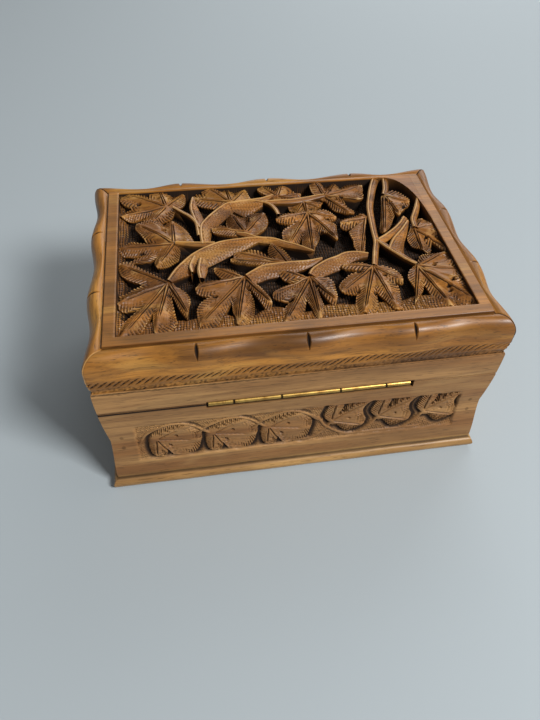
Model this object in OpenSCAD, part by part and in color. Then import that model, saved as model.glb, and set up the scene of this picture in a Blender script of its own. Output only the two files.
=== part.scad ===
// Carved wooden keepsake box with a hinged lid.
// +X runs along the length, -Y is the hinge side and +Z is up.
// The origin is at the middle of the underside.

/* [Box] */
// Length over the widest part of the lid
box_length = 203; // [180:1:240]
// Depth over the widest part of the lid
box_depth = 144.5; // [128:0.5:180]
// Thickness of the base board
base_t = 9.5; // [7:0.5:14]
// How far the base board's rounded edge runs in at its top
base_round = 2.6; // [1.5:0.1:4]
// Height of the walls, from the base board to the parting line
wall_h = 52.7; // [44:0.1:70]
// Height of the lid's side rails
rail_h = 15.3; // [12:0.1:22]
// Inside face of the walls and rails, in from the widest outline
wall_inset = 11.4; // [10.2:0.1:14]
// Gap between walls and rails at the parting line
parting_gap = 0.3; // [0.2:0.05:0.5]

/* [Side profile] */
// Set-back of the rails' top arris from the widest outline
shoulder_inset = 0.9; // [0.4:0.1:1.5]
// Set-back of the narrowest place of the walls
neck_inset = 3.7; // [2.6:0.1:4.2]
// Height of the narrowest place above the base board
neck_h = 29.5; // [27:0.5:33]
// How quickly the side draws in above the neck
shoulder_power = 1.8; // [1.4:0.1:2.4]
// Height of the upright band at the base board's lower edge
base_band = 3.5; // [2:0.1:5]
// Chamfer of the base board's lower edge
base_chamfer = 0.3; // [0.2:0.1:0.8]

/* [Moulding] */
// Height of the moulding round the lid
moulding_h = 22; // [18:0.5:26]
// Width of the moulding, from the panel to the widest outline
moulding_w = 9.36; // [8.4:0.02:10]
// Height of its widest place above its underside
moulding_belly = 14; // [11:0.5:16]
// Width of its rounded shoulder
moulding_nose = 5.6; // [4:0.1:7]
// How far the hollows draw in between two notches
hollow_in = 2.2; // [0.5:0.1:3]
// How far the hollows drop between two notches
hollow_drop = 1; // [0.2:0.1:1.5]
// Width of a stamped notch
notch_w = 1.6; // [1:0.1:2.5]
// Depth of a stamped notch
notch_depth = 1.2; // [0.6:0.1:1.6]
// Distance between notches along the long sides
long_pitch = 51; // [42:0.5:58]
// Distance between notches along the short sides
short_pitch = 49; // [38:0.5:60]
// How far its inner edge stays below its top
inner_drop = 1.4; // [1:0.1:3]
// How far its underside is tucked in from the widest outline
tuck = 1.5; // [1:0.1:2.5]

/* [Carved panel] */
// Thickness of the panel above the rails
panel_t = 22.2; // [18:0.1:26]
// Width of the flat border round the carving
border_w = 5.8; // [4:0.1:8]
// Depth of the ground below the border
ground_depth = 9; // [6:0.5:11]
// How far the leaves stay below the border
leaf_drop = 1.2; // [0.6:0.1:2.5]
// How far the stems stay below the border
stem_drop = 0.4; // [0.2:0.1:1]
// Radius of a leaf's middle, where its veins meet
leaf_core = 3.2; // [2.5:0.1:4]
// Roundness of a leaf's lobes, from pointed (1) to blunt
lobe_power = 0.45; // [0.3:0.05:1]
// Length of the flat spandrel in the border's back right corner
spandrel_l = 18; // [12:1:24]
// Depth of that spandrel
spandrel_d = 44; // [30:1:50]

/* [Frieze] */
// Height of the frieze's lower edge above the base board
frieze_base = 13; // [11:0.5:16]
// Height of the frieze
frieze_h = 27.5; // [22:0.5:29]
// Plain wood left at each end of the frieze
frieze_end = 15.5; // [14:0.5:24]
// Depth of the sunk ground
frieze_depth = 1.6; // [0.8:0.1:2]
// Width of the vine
vine_w = 1.8; // [1.2:0.1:2.4]
// Radius of the middle of a frieze leaf
frieze_core = 2.5; // [2:0.1:3.2]
// Distance between two leaves under the arches
loop_pitch = 29; // [27:0.5:32]
// Distance between two fanned leaves
fan_pitch = 25.5; // [23:0.5:28]
// Place of the first arched leaf from its end of the frieze
loop_start = 10.5; // [9:0.5:13]
// Place of the last fanned leaf from its end of the frieze
fan_start = 19; // [18:0.5:22]

/* [Hinge] */
// Length of the hinge
hinge_length = 101.6; // [80:0.2:120]
// Place of the hinge's middle along the back
hinge_x = 3; // [-5:0.5:5]
// Width of a leaf, from the pin's axis
leaf_w = 8; // [7:0.1:8.6]
// Thickness of a leaf
leaf_t = 1; // [0.8:0.05:1.3]
// Radius of the knuckles
knuckle_r = 1.2; // [1.15:0.01:1.4]
// Radius of the pin
pin_r = 0.6; // [0.4:0.05:0.7]
// Running clearance round the pin
pin_gap = 0.05; // [0.02:0.01:0.1]
// Length of the first and last knuckle
end_knuckle = 12.5; // [10:0.5:16]
// Length of the middle knuckle
mid_knuckle = 29.6; // [24:0.2:34]
// Gap between two knuckles
knuckle_gap = 0.15; // [0.1:0.05:0.3]
// Set-back of the pin's axis from the back face
axis_inset = 0.3; // [0.2:0.05:0.5]
// Angle at which the bevels of the two back edges meet
open_angle = 100; // [92:1:110]
// Clearance between a leaf or knuckle and its housing
housing_gap = 0.15; // [0.1:0.05:0.25]
// Height of the square notch below the pin's axis
notch_below = 3.6; // [3:0.1:5]
// Length of the notch past each end of the hinge
notch_past = 1; // [0.5:0.1:2]

/* [Fasteners] */
// Radius of a hinge screw's thread
screw_r = 1.1; // [0.9:0.05:1.3]
// Radius of a hinge screw's head
screw_head_r = 2.1; // [1.8:0.1:2.3]
// Length of a hinge screw
screw_l = 11; // [8:0.5:13]
// Radius of a wall nail
nail_r = 0.9; // [0.6:0.1:1.1]
// Radius of a nail's head
nail_head_r = 1.5; // [1.3:0.1:1.8]
// Thickness of a nail's head
nail_head_t = 0.6; // [0.4:0.1:1]
// Length of a wall nail
nail_l = 20; // [14:1:26]
// Clearance round a screw's or nail's shank
shank_gap = 0.02; // [0.01:0.01:0.05]
// Number of screws in each leaf
screw_count = 4; // [2:1:6]
// Width of a screw's slot
slot_w = 0.5; // [0.4:0.05:0.7]
// Depth of a screw's slot
slot_depth = 0.3; // [0.2:0.05:0.45]
// How far a nail's head is sunk
nail_sink = 0.2; // [0.1:0.05:0.4]
// Height of the corners' upper nails above the base board
upper_nail_h = 30.5; // [27:0.5:34]
// Distance between the two nails of a corner
nail_pitch = 8; // [6:0.5:10]
// Length of a base board nail
bottom_nail_l = 22; // [16:1:28]
// Place of the outer base board nails, as a share of half the length
bottom_nail_share = 0.6; // [0.4:0.05:0.8]

/* [Hidden] */

half_l = box_length / 2;
half_d = box_depth / 2;
part_z = base_t + wall_h;
rail_top = part_z + rail_h;
wall_top = part_z - parting_gap / 2;
rail_base = part_z + parting_gap / 2;
neck_z = base_t + neck_h;
panel_top = rail_top + panel_t;
// Longest step along the side profile
profile_step = 2.5;
// How far a cutting body runs past the faces it cuts
over = 1;

walnut = "#8a5f3c";
walnut_dark = "#6d472a";
brass = "#c9a54a";

// Side profile

// How far the side stands in from the widest outline at height z: a power curve
// from the shoulder down to the neck, then a half wave out to the base board
function side_inset(z) =
  z >= neck_z
  ? shoulder_inset + (neck_inset - shoulder_inset)
    * pow(max(0, rail_top - z) / (rail_top - neck_z), shoulder_power)
  : neck_inset - (neck_inset - base_round) * (1 - cos(180 * (neck_z - z) / neck_h)) / 2;

function steps(from, to) = let (n = ceil(abs(to - from) / profile_step))
  [for (i = [0:n]) from + (to - from) * i / n];

part_inset = side_inset(part_z);
axis_y = -half_d + part_inset + axis_inset;
// The lid's and the body's back edges each carry half of the opening angle
bevel_h = axis_inset * tan(open_angle / 2);

// Outer line of a wall or rail as [inset, z] points, from the lower end to the upper
function outer_line(from, to) = [for (z = steps(from, to)) [side_inset(z), z]];

// Closed section of a wall or rail, [distance outwards from the middle plane, z]
module side_section(half, from, to, bevel_low = 0, bevel_high = 0) {
  low = bevel_low > 0
    ? concat([[side_inset(from) + axis_inset, from]], outer_line(from + bevel_low, to))
    : outer_line(from, to);
  line = bevel_high > 0
    ? concat([for (p = low) if (p[1] < to - bevel_high - 0.1) p],
        [[side_inset(to - bevel_high), to - bevel_high],
         [side_inset(to) + axis_inset, to]])
    : low;
  polygon(concat(
    [for (p = line) [half - p[0], p[1]]],
    [[half - wall_inset, to], [half - wall_inset, from]]));
}

// Carries a section along the front (turn 0), left (90), back (180) or right (270) side
module on_side(turn) {
  rotate([0, 0, turn]) children();
}

// Length of a section that faces +Y, mitred at both ends
module mitred(length, depth, top) {
  back = wall_inset + over;
  intersection() {
    rotate([90, 0, 90]) translate([0, 0, -length / 2]) linear_extrude(length) children();
    linear_extrude(top)
      polygon([[-length / 2 - over, depth / 2 + over], [length / 2 + over, depth / 2 + over],
               [length / 2 - back, depth / 2 - back], [back - length / 2, depth / 2 - back]]);
  }
}

// Leaves and stems

// The angle a brought between -180 and 180 degrees
function turned(a) = a > 180 ? turned(a - 360) : (a < -180 ? turned(a + 360) : a);

// Reach of one lobe at angle a: full at its tip, fading to nothing at its half-angle
function lobe_reach(a, tip, from) =
  let (v = [tip[0] - from[0], tip[1] - from[1]], off = abs(turned(a - atan2(v[1], v[0]))))
  off < tip[2] ? norm(v) * pow(cos(90 * off / tip[2]), lobe_power) : 0;

// Outline of a lobed leaf: at each angle the longest lobe there sets the reach
leaf_step = 5;
function leaf_outline(from, tips, core) =
  [for (a = [0:leaf_step:360 - leaf_step])
    from + max(core, max([for (t = tips) lobe_reach(a, t, from)])) * [cos(a), sin(a)]];

// Point at parameter t of a smooth curve through four points
function bend(p0, p1, p2, p3, t) =
  0.5 * (2 * p1 + (p2 - p0) * t + (2 * p0 - 5 * p1 + 4 * p2 - p3) * t * t
         + (3 * p1 - p0 - 3 * p2 + p3) * t * t * t);

// Each stretch between two given points is drawn in this many steps
path_steps = 4;
function smooth_path(p) =
  let (m = len(p) - 1)
  concat([for (i = [0:m - 1], k = [0:path_steps - 1])
    bend(p[max(0, i - 1)], p[i], p[i + 1], p[min(m, i + 2)], k / path_steps)], [p[m]]);

function unit(v) = v / norm(v);

// Outline of a stem: a strip whose width goes evenly from w0 to w1
function stem_outline(path, w0, w1) =
  let (p = smooth_path(path), m = len(p) - 1,
       side = [for (i = [0:m])
         let (d = unit(p[min(m, i + 1)] - p[max(0, i - 1)])) [-d[1], d[0]]],
       w = [for (i = [0:m]) (w0 + (w1 - w0) * i / m) / 2])
  concat([for (i = [0:m]) p[i] + w[i] * side[i]],
         [for (i = [m:-1:0]) p[i] - w[i] * side[i]]);

// Lid carving, seen from above with the hinge side below

// Size of the field that the leaves were laid out for
drawn_l = 172.7;
drawn_d = 114.2;

// Each leaf: where its veins meet, then its lobes as [x, y, half-angle]
lid_leaves = [
  [[-62, -22], [[-84, -6, 16], [-85, -33, 24], [-83, -54, 17], [-66, -56, 18], [-53, -45, 17]]],
  [[-23.5, -22], [[-39, -12, 16], [-48, -27, 19], [-47, -52, 22], [-29, -56, 17], [-12, -42, 17]]],
  [[9, -25], [[-4, -18, 16], [-12, -36, 24], [-8, -54, 18], [3, -56, 13], [21, -39, 20]]],
  [[43, -22], [[28, -18, 14], [23, -37, 21], [29, -54, 19], [46, -55, 17], [55, -34, 24]]],
  [[65, -24], [[57, -51, 19], [71, -55, 15], [85, -54, 18], [86, -31, 17], [84, -15, 18],
               [73, -12, 20]]],
  [[-56, 10], [[-84, 12, 15], [-76, 27, 16], [-58, 30, 22], [-47, 15, 25], [-66, -8, 18], [-82, 0, 17]]],
  [[-18.5, 15.5], [[-35, 21, 18], [-25, 34, 18], [-7, 32, 26], [-5, 13, 26]]],
  [[17.5, 29], [[1, 26, 18], [2, 8, 24], [14, -5, 16], [31, 8, 19], [34, 26, 22]]],
  [[2, -14], [[-28, -5, 14], [-26, 4, 14], [-7, 7, 20]]],
  [[49, 22], [[34, 19, 24], [37, 4, 18], [39, -13, 15]]],
  [[69, 46], [[79, 38, 22], [70, 20, 16], [57, 4, 12]]],
  [[75.5, 9.5], [[79, 18, 24], [86, 12, 22], [85, -9, 17], [73, -9, 16], [69, 0, 20]]],
  [[-60, 45], [[-84, 56, 19], [-68, 57, 16], [-50, 56, 28], [-84, 43, 17], [-65, 32, 24]]],
  [[-22, 44.5], [[-38, 57, 20], [-45, 49, 18], [-29, 58, 17], [-15, 57, 22], [-12, 52, 17]]],
  [[4, 50], [[-4, 57, 22], [4, 58, 20], [16, 57, 22], [17, 45, 22]]],
  [[30.5, 45.5], [[24, 57, 18], [40, 58, 18], [54, 55, 18], [53, 42, 17], [40, 31, 18]]]
];

// Each stem: its middle line, then its width at the start and at the end
lid_stems = [
  [[[-62, -22], [-55, -8], [-46, 1], [-35, 6], [-22, 7], [-11, 8]], 2.5, 7],
  [[[-18, 15.5], [-10, 10], [2, 2], [14, -7], [28, -11]], 2, 3],
  [[[-23.5, -22], [-15, -17], [-4, -14.5], [8, -15], [17, -14.5]], 2.5, 4],
  [[[9, -25], [16, -19], [24, -14], [32, -11.5], [41, -11.5]], 2.5, 5],
  [[[64, 58], [57, 42], [51, 25], [49, 5], [48, -5], [43.5, -22]], 3.4, 3],
  [[[70.5, 58], [68.5, 46]], 3, 3],
  [[[-43, 8], [-41.5, 22], [-36, 33], [-28, 40], [-18, 45], [-6, 47], [4, 50]], 5, 2],
  [[[-7, 45], [4, 42], [16, 42.5], [30.5, 45.5]], 2, 2],
  [[[-57, 42], [-49, 32], [-43, 20]], 2, 3],
  [[[-56, 10], [-44, 8], [-35, 6.5]], 2, 2.5],
  [[[86, 44], [81, 33], [75.5, 21], [69, 12], [59, 5], [50, -1]], 3, 3],
  [[[49, -2], [55, -12], [60, -19], [65, -24]], 3, 2.5],
  [[[-46, 44], [-45, 33], [-42.5, 20]], 2, 4],
  [[[70, 12], [65, 4], [58, -8]], 2, 8],
  [[[-48, -8], [-46, -16], [-41, -23]], 6, 4],
  [[[8, 37], [18, 34], [28, 38]], 7, 7]
];

field_l = box_length - 2 * (moulding_w + border_w);
field_d = box_depth - 2 * (moulding_w + border_w);

function on_lid(p) = [p[0] * field_l / drawn_l, p[1] * field_d / drawn_d];
function on_lid_tip(t) = concat(on_lid(t), t[2]);

// Raised from the ground up to a drop below the border
module lid_relief(drop) {
  translate([0, 0, panel_top - ground_depth - over])
    linear_extrude(ground_depth + over - drop)
      intersection() {
        square([field_l + over, field_d + over], center = true);
        union() children();
      }
}

// Flat corner of the border at the back right, outside a curve like a quarter of an ellipse
spandrel_power = 0.8;
module spandrel() {
  low = [field_l / 2 - spandrel_l - over, field_d / 2 - spandrel_d - over];
  reach = [spandrel_l + over, spandrel_d + over];
  curve = [for (a = [0:6:90])
    [low[0] + reach[0] * pow(sin(a), spandrel_power),
     low[1] + reach[1] * pow(cos(a), spandrel_power)]];
  corner = [field_l / 2 + over, field_d / 2 + over];
  polygon(concat(curve, [[corner[0], low[1]], corner, [low[0], corner[1]]]));
}

module carved_panel() {
  panel_l = box_length - 2 * moulding_w;
  panel_d = box_depth - 2 * moulding_w;
  color(walnut) {
    difference() {
      translate([-panel_l / 2, -panel_d / 2, rail_top]) cube([panel_l, panel_d, panel_t]);
      translate([-field_l / 2, -field_d / 2, panel_top - ground_depth])
        cube([field_l, field_d, ground_depth + over]);
    }
    lid_relief(leaf_drop)
      for (leaf = lid_leaves)
        polygon(leaf_outline(on_lid(leaf[0]), [for (t = leaf[1]) on_lid_tip(t)], leaf_core));
    lid_relief(stem_drop)
      for (stem = lid_stems)
        polygon(stem_outline([for (p = stem[0]) on_lid(p)], stem[1], stem[2]));
    lid_relief(0) spandrel();
  }
}

// Frieze on the walls, in the wall's own length u and height v, as seen from outside

frieze_mid = base_t + frieze_base + frieze_h / 2;
loop_tips = [[4, 7, 20], [14, 5, 26], [17, -5, 24], [9, -12, 24], [1, -12, 26]];
loop_stem = [[-8, -5], [-3, 6], [5, 10], [12, 10.5], [20, 7.5], [25, 3], [loop_pitch, 0]];
fan_tips = [[-4, 9, 24], [3, 12.5, 24], [14, 12, 22], [17, 1, 26], [10, -8, 24]];
fan_stem = [[-20, -11.5], [-11, -10.5], [-5, -6], [0, 0]];
// Height of the arched leaves above the frieze's middle, and of the lower run of the vine
loop_v = 1;
run_v = -11.5;

// A leaf whose veins meet at the origin, under the arch of the stem that leads to the next
module vine_loop() {
  polygon(leaf_outline([0, 0], loop_tips, frieze_core));
  polygon(stem_outline(loop_stem, vine_w, vine_w));
}

// A leaf that fans out to the upper right, on a stem from the lower left
module vine_fan() {
  polygon(leaf_outline([0, 0], fan_tips, frieze_core));
  polygon(stem_outline(fan_stem, vine_w, vine_w));
}

// Arched leaves from the left, fanned ones from the right, and the vine that links them
module frieze_motifs(run) {
  count = max(1, round((run - loop_start - fan_start) / (loop_pitch + fan_pitch)));
  first_fan = run / 2 - fan_start - (count - 1) * fan_pitch;
  last_loop = loop_start - run / 2 + (count - 1) * loop_pitch;
  link = [[last_loop + 25, 4], [last_loop + 29, -3], [first_fan + 5, -9.5],
          [first_fan + 14, run_v], [run / 2 - fan_start - 1, run_v]];
  for (i = [0:count - 1]) {
    translate([loop_start - run / 2 + i * loop_pitch, loop_v]) vine_loop();
    translate([run / 2 - fan_start - i * fan_pitch, 0]) vine_fan();
  }
  polygon(stem_outline(link, vine_w, vine_w));
}

// Closed section of the sunk ground
module frieze_section(half) {
  low = base_t + frieze_base;
  line = outer_line(low, low + frieze_h);
  polygon(concat(
    [for (p = line) [half - p[0] - frieze_depth, p[1]]],
    [[half + over, low + frieze_h], [half + over, low]]));
}

// A wall facing +Y, with its frieze cut and the motifs left standing
module carved_wall(length, depth) {
  run = length - 2 * frieze_end;
  reach = neck_inset + frieze_depth + over;
  difference() {
    children();
    rotate([90, 0, 90]) translate([0, 0, -run / 2]) linear_extrude(run)
      frieze_section(depth / 2);
  }
  intersection() {
    children();
    translate([0, depth / 2 - reach, frieze_mid]) rotate([90, 0, 180])
      linear_extrude(reach + over) intersection() {
        square([run, frieze_h], center = true);
        frieze_motifs(run);
      }
  }
}

// Body

// Edge of the base board as [inset, z]: a chamfer, an upright band and a quarter round
base_edge = concat([[base_chamfer, 0], [0, base_band]],
  [for (a = [15:15:90])
    [base_round * (1 - cos(a)), base_band + (base_t - base_band) * sin(a)]]);

// Both edges of a board of the given half width
module board_section(half) {
  right = [for (p = base_edge) [half - p[0], p[1]]];
  n = len(right) - 1;
  polygon(concat(right, [for (i = [n:-1:0]) [-right[i][0], right[i][1]]]));
}

module bottom_board() {
  color(walnut) difference() {
    intersection() {
      rotate([90, 0, 90]) translate([0, 0, -half_l]) linear_extrude(box_length)
        board_section(half_d);
      rotate([90, 0, 0]) translate([0, 0, -half_d]) linear_extrude(box_depth)
        board_section(half_l);
    }
    bottom_nail_set(shank_gap);
  }
}

module wall_front() {
  color(walnut) difference() {
    carved_wall(box_length, box_depth)
      mitred(box_length, box_depth, wall_top) side_section(half_d, base_t, wall_top);
    corner_nail_set(shank_gap);
    bottom_nail_set(shank_gap);
  }
}

module wall_back() {
  color(walnut) difference() {
    on_side(180) carved_wall(box_length, box_depth)
      mitred(box_length, box_depth, wall_top)
        side_section(half_d, base_t, wall_top, bevel_high = bevel_h);
    hinge_notch();
    leaf_housing(-1);
    corner_nail_set(shank_gap);
    bottom_nail_set(shank_gap);
    hinge_screw_set(-1, shank_gap);
  }
}

module wall_left() {
  color(walnut) difference() {
    on_side(90) carved_wall(box_depth, box_length)
      mitred(box_depth, box_length, wall_top)
        side_section(half_l, base_t, wall_top);
    corner_nail_set(shank_gap);
    bottom_nail_set(shank_gap);
  }
}

module wall_right() {
  color(walnut) difference() {
    on_side(270) carved_wall(box_depth, box_length)
      mitred(box_depth, box_length, wall_top)
        side_section(half_l, base_t, wall_top);
    corner_nail_set(shank_gap);
    bottom_nail_set(shank_gap);
  }
}

// Lid

module lid_rail_front() {
  color(walnut)
    mitred(box_length, box_depth, rail_top) side_section(half_d, rail_base, rail_top);
}

module lid_rail_back() {
  color(walnut) difference() {
    on_side(180) mitred(box_length, box_depth, rail_top)
      side_section(half_d, rail_base, rail_top, bevel_low = bevel_h);
    barrel_recess();
    leaf_housing(1);
    hinge_screw_set(1, shank_gap);
  }
}

module lid_rail_left() {
  color(walnut) on_side(90)
    mitred(box_depth, box_length, rail_top) side_section(half_l, rail_base, rail_top);
}

module lid_rail_right() {
  color(walnut) on_side(270)
    mitred(box_depth, box_length, rail_top) side_section(half_l, rail_base, rail_top);
}

// Scalloped mouldings

// Section of the moulding at a crest, [inset from the widest outline, height above its underside]
moulding_line = concat(
  [[moulding_w, 0], [moulding_w, moulding_h - inner_drop]],
  [for (a = [120:-15:0])
    [moulding_nose * (1 - cos(a)), moulding_belly + (moulding_h - moulding_belly) * sin(a)]],
  [for (s = [0.25, 0.5, 0.75, 1]) [tuck * pow(s, 2), moulding_belly * (1 - s)]]);

function ease(t) = let (c = min(1, max(0, t))) c * c * (3 - 2 * c);

// How much of the hollow reaches a point of the section: none at the underside or the panel
inner_fade = 1.5;
function hollow_share(p) =
  ease(p[1] / moulding_belly) * ease((moulding_w - p[0]) / moulding_w * inner_fade);

// How much of a notch reaches a point: it crosses the top and fades down the face
notch_foot = 0.8;
notch_fade = 0.35;
function notch_share(p) = p[0] < moulding_w
  ? ease((p[1] / moulding_belly - notch_foot) / notch_fade) : 0;

// Moves a point of the section by the hollow and the notch at one station
notch_slope = 0.7;
function section_point(p, hollow, notch) =
  let (dip = notch * notch_depth * notch_share(p),
       out = p[0] < moulding_nose ? (moulding_nose - p[0]) / moulding_nose : 0)
  [p[0] + hollow * hollow_in * hollow_share(p) + dip * out,
   p[1] - hollow * hollow_drop * hollow_share(p) * p[1] / moulding_h
     - dip * (1 - out * notch_slope)];

// Stations along a side as [place, hollow, notch], from crest to crest
station_steps = 8;
function stations(crests, half) =
  let (ends = concat([-half], crests, [half]), last = len(ends) - 2)
  [for (i = [0:last], k = [0:station_steps])
    let (a = ends[i], b = ends[i + 1],
         edge_a = i == 0 ? a : a + notch_w / 2,
         edge_b = i == last ? b : b - notch_w / 2,
         u = edge_a + (edge_b - edge_a) * k / station_steps,
         hollow = (1 - cos(360 * (u - a) / (b - a))) / 2)
    each concat(i > 0 && k == 0 ? [[a, 0, 1]] : [], [[u, hollow, 0]])];

// Near a mitre the stations close up, so that the ends meet at 45 degrees
function mitre_place(u, inset, half, straight) =
  abs(u) <= straight ? u
  : sign(u) * (straight + (abs(u) - straight) * (half - inset - straight) / (half - straight));

// Sweeps the section along a side, station by station
module scalloped(half, reach, crests) {
  st = stations(crests, half);
  straight = max(crests) + notch_w;
  n = len(moulding_line);
  m = len(st);
  points = [for (s = st, p = moulding_line)
    let (q = section_point(p, s[1], s[2]))
    [mitre_place(s[0], p[0], half, straight), reach - q[0], rail_top + q[1]]];
  faces = concat(
    [[for (i = [0:n - 1]) i]],
    [[for (i = [n - 1:-1:0]) (m - 1) * n + i]],
    [for (j = [0:m - 2], i = [0:n - 1])
      let (k = (i + 1) % n, a = j * n + i, b = j * n + k) each [
        [a, a + n, b], [b, a + n, b + n]]]);
  polyhedron(points, faces, convexity = 4);
}

long_crests = [-long_pitch, 0, long_pitch];
short_crests = [-short_pitch / 2, short_pitch / 2];

module moulding_front() {
  color(walnut_dark) scalloped(half_l, half_d, long_crests);
}

module moulding_back() {
  color(walnut_dark) on_side(180) scalloped(half_l, half_d, long_crests);
}

module moulding_left() {
  color(walnut_dark) on_side(90) scalloped(half_d, half_l, short_crests);
}

module moulding_right() {
  color(walnut_dark) on_side(270) scalloped(half_d, half_l, short_crests);
}

// Hinge

side_knuckle = (hinge_length - 2 * end_knuckle - mid_knuckle) / 2;
// Ends of the knuckles from the hinge's left end, as [start, end]
knuckle_ends = [
  [0, end_knuckle],
  [end_knuckle, end_knuckle + side_knuckle],
  [end_knuckle + side_knuckle, end_knuckle + side_knuckle + mid_knuckle],
  [end_knuckle + side_knuckle + mid_knuckle, hinge_length - end_knuckle],
  [hinge_length - end_knuckle, hinge_length]
];
hinge_left = hinge_x - hinge_length / 2;
plate_start = knuckle_r + housing_gap;
barrel_r = knuckle_r + 2 * housing_gap;

// Depth of the ribs that join the knuckles to a plate
root_lap = 0.5;

module along_x(from, to) {
  translate([from, axis_y, part_z]) rotate([0, 90, 0]) linear_extrude(to - from) children();
}

// Square notch in the wall under and around the barrel
module hinge_notch() {
  translate([hinge_left - notch_past, -half_d - over, part_z - notch_below])
    cube([hinge_length + 2 * notch_past, axis_y + barrel_r + half_d + over, notch_below + over]);
}

// Round recess in the rail over the barrel
module barrel_recess() {
  along_x(hinge_left - notch_past, hinge_left + hinge_length + notch_past)
    circle(barrel_r, $fn = 48);
}

// Underside of a leaf's plate: side -1 is the body's, below the parting line, 1 the lid's
function plate_z(side) = side < 0 ? wall_top - leaf_t : rail_base;

// Housing for a leaf's plate, open towards the parting line
module leaf_housing(side) {
  translate([hinge_left - housing_gap, axis_y, plate_z(side) - (side < 0 ? 0 : over)])
    cube([hinge_length + 2 * housing_gap, leaf_w + housing_gap, leaf_t + over]);
}

// Leaf on one side of the parting line, with the knuckles it owns
module hinge_leaf(side, own) {
  difference() {
    union() {
      translate([hinge_left, axis_y + plate_start, plate_z(side)])
        cube([hinge_length, leaf_w - plate_start, leaf_t]);
      for (i = own) {
        from = hinge_left + knuckle_ends[i][0] + (i > 0 ? knuckle_gap / 2 : 0);
        to = hinge_left + knuckle_ends[i][1] - (i < 4 ? knuckle_gap / 2 : 0);
        along_x(from, to) circle(knuckle_r, $fn = 48);
        translate([from, axis_y, plate_z(side)])
          cube([to - from, plate_start + root_lap, leaf_t]);
      }
    }
    along_x(hinge_left - over, hinge_left + hinge_length + over)
      circle(pin_r + pin_gap, $fn = 48);
    hinge_screw_set(side, shank_gap);
  }
}

module hinge_leaf_body() {
  color(brass) hinge_leaf(-1, [0, 2, 4]);
}

module hinge_leaf_lid() {
  color(brass) hinge_leaf(1, [1, 3]);
}

module hinge_pin() {
  color(brass) along_x(hinge_left, hinge_left + hinge_length) circle(pin_r, $fn = 48);
}

// Fasteners

// Countersunk screw pointing down from the origin, wider by grow for its hole
module hinge_screw(grow) {
  head_h = screw_head_r - screw_r;
  translate([0, 0, -screw_l - grow])
    cylinder(h = screw_l + grow, r = screw_r + grow, $fn = 24);
  translate([0, 0, -head_h])
    cylinder(h = head_h, r1 = screw_r + grow, r2 = screw_head_r + grow, $fn = 32);
  if (grow > 0) cylinder(h = over, r = screw_head_r + grow, $fn = 32);
}

// Places its children at the middle of each screw's head, the screws pointing into the wood
module at_screws(side) {
  pitch = hinge_length / screw_count;
  y = axis_y + (plate_start + leaf_w) / 2;
  for (i = [0:screw_count - 1])
    translate([hinge_left + pitch * (i + 0.5), y, side < 0 ? wall_top : rail_base])
      rotate([side < 0 ? 0 : 180, 0, 0]) children();
}

module hinge_screw_set(side, grow = 0) {
  at_screws(side) hinge_screw(grow);
}

// Each screw has a straight slot across its head
module slotted(side) {
  at_screws(side) difference() {
    hinge_screw(0);
    cube([slot_w, 3 * screw_head_r, 2 * slot_depth], center = true);
  }
}

module hinge_screws_body() {
  color(brass) slotted(-1);
}

module hinge_screws_lid() {
  color(brass) slotted(1);
}

// Headed nail pointing down from the origin, wider by grow for its hole
module nail(length, grow) {
  translate([0, 0, -length - grow])
    cylinder(h = length + grow, r = nail_r + grow, $fn = 24);
  translate([0, 0, -nail_head_t - grow])
    cylinder(h = nail_head_t + grow, r = nail_head_r + grow, $fn = 32);
  if (grow > 0) cylinder(h = 2 * over, r = nail_head_r + grow, $fn = 32);
}

// Nails through the back and front walls into the side walls' ends
module corner_nail_set(grow = 0) {
  x = half_l - (neck_inset + wall_inset) / 2;
  y = half_d - neck_inset - nail_sink;
  upper = base_t + upper_nail_h;
  for (sx = [-1, 1], sy = [-1, 1], z = [upper, upper - nail_pitch])
    translate([sx * x, sy * y, z]) rotate([-sy * 90, 0, 0]) nail(nail_l, grow);
}

module corner_nails() {
  color("dimgray") corner_nail_set();
}

// Nails up through the base board into the walls
module bottom_nail_set(grow = 0) {
  inset = (base_round + wall_inset) / 2;
  x = half_l * bottom_nail_share;
  spots = [[x, half_d - inset], [x, inset - half_d], [-x, half_d - inset],
           [-x, inset - half_d], [half_l - inset, 0], [inset - half_l, 0]];
  for (s = spots)
    translate([s[0], s[1], nail_sink]) rotate([180, 0, 0]) nail(bottom_nail_l, grow);
}

module bottom_nails() {
  color("dimgray") bottom_nail_set();
}

bottom_board();
wall_front();
wall_back();
wall_left();
wall_right();
lid_rail_front();
lid_rail_back();
lid_rail_left();
lid_rail_right();
moulding_front();
moulding_back();
moulding_left();
moulding_right();
carved_panel();
hinge_leaf_body();
hinge_leaf_lid();
hinge_pin();
hinge_screws_body();
hinge_screws_lid();
corner_nails();
bottom_nails();
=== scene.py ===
import bmesh
import bpy
import numpy as np
from mathutils import Matrix, Vector


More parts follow.
